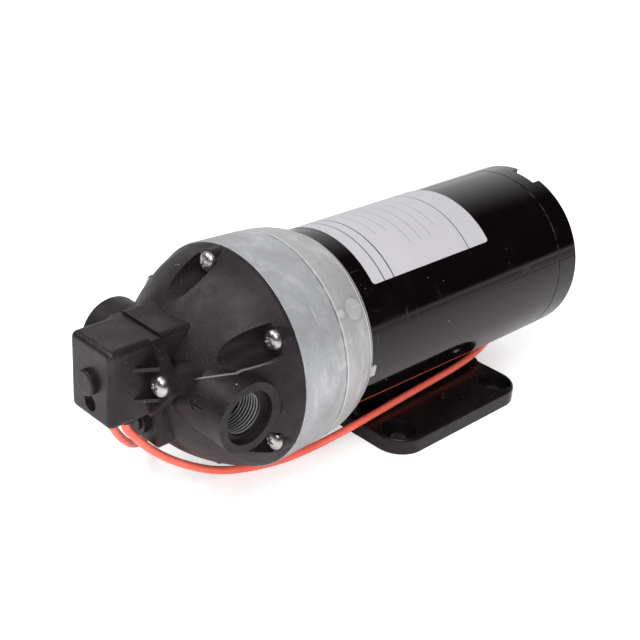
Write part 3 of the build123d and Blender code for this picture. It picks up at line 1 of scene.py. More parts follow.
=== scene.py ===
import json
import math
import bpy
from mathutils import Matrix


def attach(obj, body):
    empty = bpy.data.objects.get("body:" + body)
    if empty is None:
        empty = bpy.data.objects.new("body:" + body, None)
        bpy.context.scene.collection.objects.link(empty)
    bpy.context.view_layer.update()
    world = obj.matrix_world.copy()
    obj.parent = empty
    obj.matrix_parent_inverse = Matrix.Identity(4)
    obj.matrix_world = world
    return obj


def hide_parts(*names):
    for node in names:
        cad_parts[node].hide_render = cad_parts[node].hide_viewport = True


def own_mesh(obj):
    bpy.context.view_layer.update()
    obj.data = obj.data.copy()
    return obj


bl_info = {
    "name": "Caravan Water Pump",
    "version": (1, 0, 0),
    "blender": (4, 5, 0),
    "location": "View3D > Sidebar > Water Pump",
    "description": "Dresses the packed water pump: threads, screws, leads, label print, finishes and stage",
    "category": "Add Mesh",
}

import bmesh
import bpy
import numpy as np
from bpy.props import FloatProperty, FloatVectorProperty, IntProperty, PointerProperty
from mathutils import Matrix, Vector

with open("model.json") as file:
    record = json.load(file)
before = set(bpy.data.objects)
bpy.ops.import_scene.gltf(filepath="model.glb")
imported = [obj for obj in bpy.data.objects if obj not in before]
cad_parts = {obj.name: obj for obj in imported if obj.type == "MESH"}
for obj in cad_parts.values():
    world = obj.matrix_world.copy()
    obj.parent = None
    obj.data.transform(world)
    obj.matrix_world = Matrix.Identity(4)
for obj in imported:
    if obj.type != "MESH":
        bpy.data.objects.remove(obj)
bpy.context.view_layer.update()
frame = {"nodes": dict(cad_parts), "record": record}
NODES = frame["nodes"]

# Stations of the pump in metres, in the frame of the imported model, and the wobble plate's tilt in degrees
AXIS_Z = 0.050
CAN_RADIUS = 0.038
PORT_X = -0.1227
PORT_Z = 0.0515
WOBBLE_X = -0.078
WOBBLE_TILT = 4.0

# Pipe thread: both ends along the port, its outer wall, and the radii between which the painted shade of its
# roots turns into the painted highlight of its crests
THREAD_IN = 0.0256
THREAD_OUT = 0.0374
THREAD_WALL = 0.00845
CREST_HIGHLIGHT_BAND = (0.00795, 0.00760)

# Screws: node, body, radius and height of the head, radius and length of the shank
SCREW_SIZES = (
    ("head_screws", "case", 0.0040, 0.0029, 0.0020, 0.0201),
    ("switch_screws", "case", 0.0040, 0.0029, 0.0017, 0.0160),
    ("mount_screws", "case", 0.0036, 0.0024, 0.0020, 0.0119),
    ("foot_screws", "case", 0.0038, 0.0026, 0.0020, 0.0105),
    ("piston_screws", "wobbler", 0.0032, 0.0012, 0.0020, 0.0110),
)

# Seats of the screws: radius and station of each circle round the shaft, and the others' own places
HEAD_CIRCLE = (0.0397, -0.1055)
MOUNT_CIRCLE = (0.026, -0.0645)
PISTON_CIRCLE = (0.0185, -0.0921)
HEAD_SCREW_ANGLE = 35.7
EAR_SEAT = (-0.1434, 0.0172, 0.0609)
FOOT_SEAT_X = 0.025
FOOT_SEAT_Z = 0.0035

# Turn of the first screw's recess in its set, and how much each next one differs, in radians
FIRST_TURN = 0.4
NEXT_TURN = 1.1

# Both leads leave the switch's floor square to it, one on each side of its middle
MOTOR_LEAD_ROUTE = [
    (-0.1504, -0.0060, 0.04428),
    (-0.1504, -0.0060, 0.0410),
    (-0.1470, -0.0060, 0.0366),
    (-0.1404, -0.0060, 0.0284),
    (-0.1312, -0.0060, 0.0197),
    (-0.1188, -0.0061, 0.0106),
    (-0.1059, -0.0070, 0.0036),
    (-0.0930, -0.0109, 0.0018),
    (-0.0784, -0.0149, 0.00175),
    (-0.0624, -0.0180, 0.0040),
    (-0.0476, -0.0220, 0.0088),
    (-0.0329, -0.0212, 0.0092),
    (-0.0140, -0.0200, 0.0096),
    (0.0056, -0.0191, 0.0101),
    (0.0235, -0.0184, 0.0108),
    (0.0375, -0.0168, 0.0118),
    (0.0515, -0.0124, 0.0113),
    (0.0622, -0.00765, 0.01064),
    (0.0705, -0.00765, 0.01064),
]
SUPPLY_LEAD_ROUTE = [
    (-0.1504, 0.0060, 0.04428),
    (-0.1504, 0.0060, 0.0410),
    (-0.1480, 0.0065, 0.0358),
    (-0.1428, 0.0090, 0.0275),
    (-0.1355, 0.0135, 0.0185),
    (-0.1260, 0.0205, 0.0098),
    (-0.1150, 0.0285, 0.0040),
    (-0.1030, 0.0370, 0.0019),
    (-0.0890, 0.0445, 0.00175),
    (-0.0730, 0.0505, 0.0018),
    (-0.0540, 0.0540, 0.00175),
    (-0.0340, 0.0545, 0.0018),
    (-0.0140, 0.0525, 0.00175),
    (0.0060, 0.0520, 0.0018),
    (0.0240, 0.0550, 0.00175),
    (0.0400, 0.0610, 0.0018),
]

# Long seam of the rolled can: its angle from the -Y side upwards in radians, and where it fades in
SEAM_ANGLE = 0.245
SEAM_FADE = (0.012, 0.030)

# The dome's mould line: its angle, where it bends, how fast it climbs from there, and where its ends fade,
# in radians and metres
LINE_ANGLE = 0.445
LINE_BEND_X = -0.122
LINE_CLIMB = 5.0
LINE_FRONT_FADE = (-0.1335, -0.1312)
LINE_REAR_FADE = (-0.106, -0.121)

# Cast pads on the ring, in line with every second head screw: angle, station, radius and the tone of the
# painted highlight on each pad's face
RING_PADS = tuple(
    (HEAD_SCREW_ANGLE + 120.0 * i, station, radius, light)
    for i in range(3)
    for station, radius, light in ((-0.0680, 0.0048, 0.52), (-0.0750, 0.0023, 0.68))
)

# Ring: its turned rims with station, half width and tone, then the seam and the pale lip in front of them,
# and where the cast tone turns darker
RING_RIMS = ((-0.0610, 0.0007, 0.85), (-0.0601, 0.0005, 0.05), (-0.0593, 0.0004, 0.62))
RING_SEAM_X = -0.0780
RING_LIP_X = -0.0770
RING_COLD_FADE = (-0.0700, -0.0722)

# Soft inner pieces that shorten towards a fixed end: node, joint, fixed station and travel in metres
SPRINGS = (
    ("switch_spring", "plunger_slide", -0.1538, 0.0005),
    ("switch_seal", "plunger_slide", -0.1389, 0.0005),
    ("bypass_spring", "poppet_slide", -0.1367, 0.0015),
)

# Ruled lines of the label: station and half width
LABEL_RULES = ((-0.0437, 0.00034), (-0.0384, 0.00040), (0.0072, 0.00030))

# Blank writing lines of the label: the first one's station, the step to the next, the angle in degrees at
# which each one starts, and the one at which they all end
LABEL_ROW_X = -0.0020
LABEL_ROW_STEP = -0.0060
LABEL_ROW_STARTS = (66.0, 60.0, 60.0, 60.0, 74.0, 74.0)
LABEL_ROW_END = 104.0

# Armature: thickness of one sheet, turns of wire round the shaft, and how much they lean for each metre
SHEET = 0.0005
WIRE_TURNS = 96.0
WIRE_LEAN = 2600.0

# Lamps: name, place, size and the setting with its power. Mirrors don't show the front one
LAMPS = (
    ("Key", (-0.66, -0.46, 1.22), (0.8, 0.8), "key_power"),
    ("Top", (-0.05, 0.05, 1.25), (0.9, 0.9), "top_power"),
    ("Front", (-0.75, -0.85, 0.3), (1.0, 0.5), "front_power"),
    ("Rear", (-0.62, 0.62, 1.2), (0.6, 0.6), "rear_power"),
)
LAMP_AIM = (-0.05, 0.0, 0.05)

# X and Y of the direction in which mirrors see the room's white far side
FAR_SIDE = (0.724, 0.689)

# Camera: turn, rise and roll in radians, its aim, its offsets from the aim back, across and above, and its
# focal length in widths of the picture
CAMERA_TURN = -0.8099
CAMERA_RISE = 0.4821
CAMERA_ROLL = 0.0800
CAMERA_AIM = (-0.041, 0.0, AXIS_Z)
CAMERA_BACK = 12.9411 * CAN_RADIUS
CAMERA_ACROSS = -0.1538 * CAN_RADIUS
CAMERA_ABOVE = -0.0757 * CAN_RADIUS
CAMERA_REACH = 1198.83 / 640.0
SENSOR = 36.0


def colour_setting(name, description, default):
    """A colour in a group of settings."""
    return FloatVectorProperty(
        name=name, description=description, subtype="COLOR", size=3, min=0.0, max=1.0, default=default,
    )


def length_setting(name, description, default, least=0.0001):
    """A length in a group of settings."""
    return FloatProperty(
        name=name, description=description, unit="LENGTH", default=default, min=least, precision=5,
    )


def power_setting(name, description, default):
    """A lamp's power in a group of settings."""
    return FloatProperty(name=name, description=description, subtype="POWER", default=default, min=0.0)


class PumpFinishes(bpy.types.PropertyGroup):
    """Colours of the pump's visible finishes."""

    head_colour: colour_setting(
        "Head Plastic", "Colour of the moulded head and switch", (0.0125, 0.0092, 0.0110),
    )
    can_colour: colour_setting("Can Enamel", "Colour of the glossy motor can", (0.0026, 0.0017, 0.0020))
    ring_colour: colour_setting("Cast Ring", "Mean colour of the bare cast ring", (0.475, 0.46, 0.465))
    foot_colour: colour_setting("Foot Plastic", "Colour of the moulded foot", (0.0070, 0.0056, 0.0062))
    label_colour: colour_setting("Label Film", "Ground colour of the label", (0.455, 0.442, 0.465))
    lead_colour: colour_setting("Lead Skin", "Colour of the leads' insulation", (1.0, 0.150, 0.100))


class PumpPorts(bpy.types.PropertyGroup):
    """Sizes of the pipe thread in both ports."""

    crest_radius: length_setting("Crest Radius", "Radius at the thread's inner crests", 0.00748, 0.001)
    root_radius: length_setting("Root Radius", "Radius at the thread's roots", 0.00828, 0.001)
    pitch: length_setting("Pitch", "Distance from one turn of the thread to the next", 0.001337, 0.0002)
    turns_grid: IntProperty(
        name="Points per Turn", description="Points round one turn of the thread", default=96, min=24,
    )


class PumpScrews(bpy.types.PropertyGroup):
    """Sizes of the screws' cross recess and thread."""

    recess_width: length_setting("Recess Width", "Half width of one arm of the cross recess", 0.00038)
    recess_depth: length_setting("Recess Depth", "Depth of the recess at its centre", 0.0010)
    thread_pitch: length_setting("Thread Pitch", "Pitch of the screws' thread", 0.0009, 0.0002)


class PumpLeads(bpy.types.PropertyGroup):
    """Sizes of the leads."""

    diameter: length_setting("Lead Diameter", "Outer diameter of both leads", 0.0032, 0.0005)
    strand_length: length_setting("Bare Length", "Length of the bare copper end", 0.008)
    strand_radius: length_setting("Bare Radius", "Radius of the whole twisted bundle", 0.0009)


class PumpStage(bpy.types.PropertyGroup):
    """Light, floor and camera."""

    floor_size: length_setting("Floor Size", "Length of the floor's side", 9.0, 1.0)
    key_power: power_setting("Key Lamp", "Power of the large lamp above the head's side", 10.4)
    top_power: power_setting("Top Lamp", "Power of the lamp above the pump", 1.2)
    front_power: power_setting("Front Fill", "Power of the soft fill from the front, unseen in mirrors", 8.5)
    rear_power: power_setting("Rear Lamp", "Power of the lamp behind the pump", 7.0)
    room_light: FloatProperty(
        name="Room Light", description="Strength of the even light from all round", default=0.46, min=0.0,
    )


def unit(vector):
    """The vector at length one."""
    vector = np.asarray(vector, float)
    return vector / np.linalg.norm(vector)


def put(points, origin, axis, turn=0.0):
    """Carries points whose own Z is a piece's axis to an origin and an axis, turned about it."""
    z = unit(axis)
    x = unit(np.cross((0.0, 1.0, 0.0) if abs(z[1]) < 0.9 else (0.0, 0.0, 1.0), z))
    y = np.cross(z, x)
    c, s = math.cos(turn), math.sin(turn)
    basis = np.stack([c * x + s * y, c * y - s * x, z])
    return points @ basis + np.asarray(origin, float)


def grid_faces(rows, columns, start, wrap_rows=False):
    """Quads between neighbours of a grid whose columns close on themselves."""
    i = np.arange(rows if wrap_rows else rows - 1)[:, None]
    j = np.arange(columns)[None, :]
    a = i * columns + j
    b = i * columns + (j + 1) % columns
    c = ((i + 1) % rows) * columns + (j + 1) % columns
    d = ((i + 1) % rows) * columns + j
    return np.stack([a, b, c, d], -1).reshape(-1, 4) + start


def lay(name, grids, wrap_rows=False, sharp=35.0):
    """Puts whole grids of points into one mesh, merges their poles and turns their faces outwards."""
    corners, faces, start = [], [], 0
    for grid in grids:
        rows, columns = grid.shape[:2]
        corners.append(grid.reshape(-1, 3))
        faces.append(grid_faces(rows, columns, start, wrap_rows))
        start += rows * columns
    mesh = bpy.data.meshes.new(name)
    mesh.from_pydata(np.concatenate(corners).tolist(), [], np.concatenate(faces).tolist())
    work = bmesh.new()
    work.from_mesh(mesh)
    bmesh.ops.remove_doubles(work, verts=work.verts, dist=1e-7)
    bmesh.ops.recalc_face_normals(work, faces=work.faces)
    work.to_mesh(mesh)
    work.free()
    mesh.polygons.foreach_set("use_smooth", np.ones(len(mesh.polygons), bool))
    mesh.set_sharp_from_angle(angle=math.radians(sharp))
    piece = bpy.data.objects.new(name, mesh)
    bpy.context.scene.collection.objects.link(piece)
    return piece


def smooth_step(value):
    """0 below 0, 1 above 1, and 3t^2 - 2t^3 between."""
    t = np.clip(value, 0.0, 1.0)
    return t * t * (3.0 - 2.0 * t)


def ring_of_points(radius, height, angles):
    """Points about Z at their radius, height and angle."""
    return np.stack([radius * np.cos(angles), radius * np.sin(angles), height + 0.0 * angles], -1)


def thread_sleeve(sizes, low, high, wall):
    """Inner pipe thread. Its radius at height h and angle a is root - depth * ridge(h / pitch - a / turn),
    where ridge rises and falls in straight flanks with rounded ends, and fades out at both ends."""
    columns = sizes.turns_grid
    rows = int((high - low) / sizes.pitch * 14) + 1
    h = np.linspace(low, high, rows)[:, None]
    a = np.linspace(0.0, math.tau, columns, endpoint=False)[None, :]
    phase = (h / sizes.pitch - a / math.tau) % 1.0
    ridge = smooth_step(1.6 * (1.0 - np.abs(2.0 * phase - 1.0)) - 0.3)
    fade = smooth_step((h - low) / sizes.pitch) * smooth_step((high - h) / sizes.pitch)
    r = sizes.root_radius - (sizes.root_radius - sizes.crest_radius) * ridge * fade
    inner = ring_of_points(r, h, a)
    back = [ring_of_points(wall, end, a[0]) for end in (high, low)]
    return np.concatenate([inner, np.stack(back)], 0)


def screw_head(sizes, radius, height, columns=72, rings=34):
    """Pan head with a cross recess. At radius r the top stands at height * (1 - (r/radius)^2.3)^(1/2),
    less the recess: deep where the nearer arm's half width is not reached and r is inside the arm's reach."""
    share = np.linspace(0.0, 1.0, rings) ** 0.85
    r = (radius * share)[:, None]
    a = np.linspace(0.0, math.tau, columns, endpoint=False)[None, :]
    x, y = r * np.cos(a), r * np.sin(a)
    top = height * (1.0 - share[:, None] ** 2.3) ** 0.5
    reach = 0.45 * radius
    near = np.minimum(np.abs(x), np.abs(y))
    width = sizes.recess_width * (1.25 - 0.5 * r / reach)
    depth = min(sizes.recess_depth, 0.6 * height)
    sink = depth * smooth_step((width - near) / (0.4 * sizes.recess_width) + 0.5)
    sink = sink * smooth_step((reach - r) / (0.25 * radius)) * (1.0 - 0.35 * r / radius)
    bowl = 0.25 * depth * smooth_step(1.0 - r / (1.6 * sizes.recess_width))
    face = np.stack([x, y, top - sink - bowl], -1)
    under = [ring_of_points(rim * radius, 0.0, a[0]) for rim in (0.97, 0.0)]
    return np.concatenate([face, np.stack(under)], 0)


def screw_shank(sizes, radius, length, columns=24):
    """Threaded shank below the head: radius - depth * ridge(h / pitch - a / turn), closed at both ends."""
    rows = int(length / sizes.thread_pitch * 6) + 1
    h = np.linspace(0.0, -length, rows)[:, None]
    a = np.linspace(0.0, math.tau, columns, endpoint=False)[None, :]
    ridge = np.abs(2.0 * ((h / sizes.thread_pitch - a / math.tau) % 1.0) - 1.0)
    fade = smooth_step(-h / 0.0015 - 1.0) * smooth_step((length + h) / sizes.thread_pitch)
    r = radius * (1.0 - 0.17 * ridge * fade)
    wall = ring_of_points(r, h, a)
    ends = [np.zeros((1, columns, 3)) + (0.0, 0.0, z) for z in (0.0, -length)]
    return np.concatenate([ends[0], wall, ends[1]], 0)


def strand_bundle(radius, length, count=7, turns=1.6, columns=8, rows=40):
    """Twisted strands: one straight core, the others on helices of angle 2 pi (k / n + turns * s)."""
    thin = radius / 3.0
    s = np.linspace(0.0, 1.0, rows)
    a = np.linspace(0.0, math.tau, columns, endpoint=False)
    grids = []
    for k in range(count):
        ring = 0.0 if k == 0 else 2.0 * thin * (1.0 + 0.12 * math.sin(2.3 * k))
        turn = math.tau * (k / (count - 1) + turns * s)
        reach = length * (1.0 - 0.05 * (k % 3))
        centre = ring_of_points(ring, reach * s, turn)
        tube = centre[:, None, :] + ring_of_points(thin, 0.0, a)[None, :, :]
        caps = [np.repeat(centre[i][None, None, :], columns, 1) for i in (0, -1)]
        grids.append(np.concatenate([caps[0], tube, caps[1]], 0))
    return grids


class Board:
    """Short way to add and link nodes in one node tree."""

    def __init__(self, tree):
        self.tree = tree

    def add(self, kind, values=None, **settings):
        """A node with its settings, and numbers or links for its inputs."""
        made = self.tree.nodes.new(kind)
        for name, value in settings.items():
            setattr(made, name, value)
        for key, value in (values or {}).items():
            if isinstance(value, bpy.types.NodeSocket):
                self.tree.links.new(value, made.inputs[key])
            else:
                made.inputs[key].default_value = value
        return made

    def math(self, operation, a, b=0.0, clamp=False):
        """One sum of two numbers."""
        return self.add("ShaderNodeMath", {0: a, 1: b}, operation=operation, use_clamp=clamp).outputs[0]

    def plus(self, a, b, clamp=False):
        """Two numbers added."""
        return self.math("ADD", a, b, clamp)

    def less(self, a, b):
        """The second number taken from the first."""
        return self.math("SUBTRACT", a, b)

    def gap(self, a, b):
        """How far apart two numbers are."""
        return self.math("ABSOLUTE", self.less(a, b))

    def times(self, first, *others):
        """Numbers multiplied in turn."""
        for other in others:
            first = self.math("MULTIPLY", first, other)
        return first

    def place(self):
        """The place on the piece, in object coordinates."""
        return self.add("ShaderNodeTexCoord").outputs["Object"]

    def parts(self, vector):
        """X, Y and Z of a vector."""
        return self.add("ShaderNodeSeparateXYZ", {"Vector": vector}).outputs

    def stretched(self, where, scale, turn=(0.0, 0.0, 0.0)):
        """A place turned and stretched, for a pattern that runs one way."""
        values = {"Vector": where, "Rotation": turn, "Scale": scale}
        return self.add("ShaderNodeMapping", values).outputs["Vector"]

    def link(self, value, socket):
        """Links a value to a socket of an output or a shader."""
        self.tree.links.new(value, socket)

    def ramp(self, value, low, high, to_low=0.0, to_high=1.0):
        """The value carried from one range to another, smooth and clamped."""
        made = self.add("ShaderNodeMapRange", {
            "Value": value, "From Min": low, "From Max": high, "To Min": to_low, "To Max": to_high,
        }, interpolation_type="SMOOTHSTEP", clamp=True)
        return made.outputs["Result"]

    def blend(self, factor, first, second):
        """Two colours mixed by a factor."""
        made = self.add("ShaderNodeMix", {0: factor, 6: first, 7: second}, data_type="RGBA")
        return made.outputs[2]

    def noise(self, where, scale, detail=4.0, rough=0.5, twist=0.0):
        """Soft noise at a place."""
        made = self.add("ShaderNodeTexNoise", {
            "Vector": where, "Scale": scale, "Detail": detail, "Roughness": rough, "Distortion": twist,
        })
        return made.outputs["Fac"]

    def bump(self, height, distance, strength=1.0):
        """A bump from a height."""
        values = {"Height": height, "Distance": distance, "Strength": strength}
        return self.add("ShaderNodeBump", values).outputs["Normal"]


def new_group(name, inputs, *outputs):
    """An empty shader group with its named inputs, (name, default), and its named number outputs."""
    tree = bpy.data.node_groups.new(name, "ShaderNodeTree")
    for label, value in inputs:
        socket = tree.interface.new_socket(label, in_out="INPUT", socket_type="NodeSocketFloat")
        socket.default_value = value
    for label in outputs:
        tree.interface.new_socket(label, in_out="OUTPUT", socket_type="NodeSocketFloat")
    board = Board(tree)
    return board, board.add("NodeGroupInput").outputs, board.add("NodeGroupOutput").inputs


def make_moulded_grain():
    """Fine pebbled grain of a spark eroded mould, with a slow change of gloss over it."""
    inputs = [("Grain Scale", 2600.0), ("Cloud Scale", 60.0)]
    board, given, out = new_group("Moulded Grain", inputs, "Height", "Gloss")
    where = board.place()
    values = {"Vector": where, "Scale": given["Grain Scale"]}
    cells = board.add("ShaderNodeTexVoronoi", values, feature="SMOOTH_F1").outputs["Distance"]
    fine = board.noise(where, given["Grain Scale"], 2.0)
    cloud = board.noise(where, given["Cloud Scale"], 5.0, 0.62, 0.6)
    board.link(board.plus(board.times(cells, 0.6), board.times(fine, 0.5)), out["Height"])
    board.link(board.ramp(cloud, 0.3, 0.7), out["Gloss"])
    return board.tree


def make_dust():
    """Sparse specks of dust and lint, and the faint haze between them."""
    inputs = [("Speck Scale", 420.0), ("Amount", 0.5)]
    board, given, out = new_group("Dust Specks", inputs, "Specks", "Haze")
    where = board.place()
    cells = board.add("ShaderNodeTexVoronoi", {"Vector": where, "Scale": given["Speck Scale"]}).outputs
    pick = board.add("ShaderNodeSeparateColor", {"Color": cells["Color"]}).outputs[0]
    size = board.times(board.ramp(pick, 0.86, 1.0), 0.16)
    speck = board.math("LESS_THAN", cells["Distance"], size)
    patch = board.ramp(board.noise(where, 35.0, 3.0), 0.45, 0.7)
    haze = board.ramp(board.noise(where, 24.0, 6.0, 0.65, 1.2), 0.4, 0.75)
    board.link(board.times(speck, patch, given["Amount"]), out["Specks"])
    board.link(board.times(haze, given["Amount"]), out["Haze"])
    return board.tree


def make_scratches():
    """Fine rubbing lines in two directions, broken up by noise."""
    board, given, out = new_group("Rub Marks", [("Line Scale", 900.0), ("Amount", 0.4)], "Marks")
    where = board.place()
    lines = []
    for turn, stretch in ((0.5, (1.0, 0.03, 0.06)), (2.1, (0.04, 1.0, 0.05))):
        along = board.stretched(where, stretch, (turn, 0.3 * turn, turn))
        lines.append(board.ramp(board.noise(along, given["Line Scale"], 2.0), 0.66, 0.72))
    gate = board.ramp(board.noise(where, 55.0, 2.0), 0.5, 0.62)
    board.link(board.times(board.math("MAXIMUM", *lines), gate, given["Amount"]), out["Marks"])
    return board.tree


def make_edge_wear_and_highlight():
    """Mask of the outer edges, where the rounded normal leaves the true one."""
    board, given, out = new_group("Worn Edges", [("Width", 0.0006), ("Amount", 0.6)], "Edge")
    soft = board.add("ShaderNodeBevel", {"Radius": given["Width"]}, samples=6).outputs["Normal"]
    true = board.add("ShaderNodeNewGeometry").outputs["Normal"]
    turned = board.add("ShaderNodeVectorMath", {0: soft, 1: true}, operation="DOT_PRODUCT")
    edge = board.ramp(turned.outputs["Value"], 0.995, 0.9)
    broken = board.ramp(board.noise(board.place(), 260.0, 4.0), 0.35, 0.65)
    board.link(board.times(edge, broken, given["Amount"]), out["Edge"])
    return board.tree


GROUPS = {}
GROUP_MAKERS = {
    "grain": make_moulded_grain,
    "dust": make_dust,
    "rub": make_scratches,
    "edges": make_edge_wear_and_highlight,
}


def shared(board, name, **values):
    """One of the shared effects in a material, with its own values."""
    if name not in GROUPS:
        GROUPS[name] = GROUP_MAKERS[name]()
    made = board.add("ShaderNodeGroup", node_tree=GROUPS[name])
    for key, value in values.items():
        made.inputs[key.replace("_", " ").title()].default_value = value
    return made.outputs


def new_material(name, roughness=0.5, metallic=0.0, **plain):
    """A material with its principled shader, and the board to add nodes on."""
    material = bpy.data.materials.new(name)
    material.use_nodes = True
    tree = material.node_tree
    shader = tree.nodes["Principled BSDF"]
    shader.inputs["Roughness"].default_value = roughness
    shader.inputs["Metallic"].default_value = metallic
    for key, value in plain.items():
        shader.inputs[key.replace("_", " ")].default_value = value
    return material, Board(tree), shader


def grey(value):
    """A neutral colour."""
    return (value, value, value, 1.0)


def scaled(colour, share):
    """A colour made lighter or darker."""
    return tuple(min(1.0, part * share) for part in colour[:3]) + (1.0,)


def wire(board, shader, **values):
    """Links values that change over the surface to the shader's sockets."""
    for key, value in values.items():
        board.link(value, shader.inputs[key.replace("_", " ")])


def turn_round_shaft(board, part):
    """Angle round the shaft in radians, counted from the -Y side upwards."""
    return board.math("ARCTAN2", board.less(part["Z"], AXIS_Z), board.times(part["Y"], -1.0))


def parting_line(board):
    """Mask of the mould's thin pale line on the dome, which climbs from the port to the switch's ear."""
    part = board.parts(board.place())
    x = part["X"]
    climb = board.math("MAXIMUM", board.less(LINE_BEND_X, x), 0.0)
    aim = board.plus(board.times(climb, LINE_CLIMB), LINE_ANGLE)
    line = board.ramp(board.gap(turn_round_shaft(board, part), aim), 0.012, 0.005, 0.0, 0.75)
    return board.times(line, board.ramp(x, *LINE_FRONT_FADE), board.ramp(x, *LINE_REAR_FADE))


def moulded_plastic(name, colour, low, high, relief=0.00010, dust=0.5, edge_wear_and_highlight=0.5, parted=False):
    """Moulded plastic: pebbled grain with painted shade in its hollows, cloudy gloss, dust in patches, and
    paler edges that are partly rubbed wear and partly a painted edge highlight.
    """
    tint = (1.0, 0.93, 0.96, 1.0)
    material, board, shader = new_material(name, Specular_IOR_Level=0.37, Specular_Tint=tint)
    base = shared(board, "grain", grain_scale=1500.0)
    specks = shared(board, "dust", amount=dust)
    edges = shared(board, "edges", amount=edge_wear_and_highlight)
    rub = shared(board, "rub", amount=0.35)
    grit = shared(board, "dust", speck_scale=1000.0, amount=dust)
    tone = board.blend(base["Gloss"], scaled(colour, 0.7), scaled(colour, 1.3))
    # Painted shade: the grain's hollows darker than its tops
    tone = board.blend(board.ramp(base["Height"], 0.35, 0.75), scaled(colour, 0.5), tone)
    tone = board.blend(specks["Haze"], tone, scaled(colour, 2.2))
    # Paler edges: partly rubbed wear, partly a painted edge highlight
    tone = board.blend(edges["Edge"], tone, scaled(colour, 3.0))
    tone = board.blend(specks["Specks"], tone, grey(0.42))
    tone = board.blend(grit["Specks"], tone, grey(0.25))
    if parted:
        tone = board.blend(parting_line(board), tone, grey(0.2))
    rough = board.ramp(base["Gloss"], 0.0, 1.0, high, low)
    rough = board.plus(rough, board.times(rub["Marks"], 0.18), clamp=True)
    wire(board, shader, Base_Color=tone, Roughness=rough, Normal=board.bump(base["Height"], relief))
    return material


def gloss_enamel(name, colour):
    """Glossy enamel on drawn steel: slow orange peel, haze, lint, a few rubbed lines and the long seam."""
    tint = (1.0, 0.92, 0.93, 1.0)
    material, board, shader = new_material(name, 0.1, Specular_IOR_Level=0.36, Specular_Tint=tint)
    where = board.place()
    part = board.parts(where)
    specks = shared(board, "dust", speck_scale=520.0, amount=0.9)
    grit = shared(board, "dust", speck_scale=1100.0, amount=0.8)
    rub = shared(board, "rub", line_scale=620.0, amount=0.35)
    edges = shared(board, "edges", width=0.0004, amount=0.7)
    tone = board.blend(specks["Haze"], scaled(colour, 1.0), scaled(colour, 1.8))
    tone = board.blend(edges["Edge"], tone, grey(0.09))
    tone = board.blend(specks["Specks"], tone, grey(0.3))
    tone = board.blend(rub["Marks"], tone, grey(0.035))
    gap = board.gap(turn_round_shaft(board, part), SEAM_ANGLE)
    seam = board.times(board.ramp(gap, 0.009, 0.004), board.ramp(part["X"], *SEAM_FADE))
    tone = board.blend(seam, tone, grey(0.0005))
    tone = board.blend(grit["Specks"], tone, grey(0.25))
    rough = board.ramp(specks["Haze"], 0.0, 0.75, 0.07, 0.16)
    rough = board.plus(rough, board.times(seam, 0.5))
    rough = board.plus(rough, board.times(rub["Marks"], 0.2))
    peel = board.bump(board.noise(where, 190.0, 2.0), 0.00002, 0.6)
    wire(board, shader, Base_Color=tone, Roughness=rough, Normal=peel)
    return material


def pad_distance(board, part, turn, station):
    """Distance over the ring from a pad's middle, and 1 on the pad's own side of the shaft."""
    c, s = math.cos(math.radians(turn)), math.sin(math.radians(turn))
    rise = board.less(part["Z"], AXIS_Z)
    across = board.less(part["X"], station)
    along = board.plus(board.times(part["Y"], s), board.times(rise, c))
    outward = board.less(board.times(rise, s), board.times(part["Y"], c))
    square = board.plus(board.times(across, across), board.times(along, along))
    return board.math("SQRT", square), board.math("GREATER_THAN", outward, 0.0)


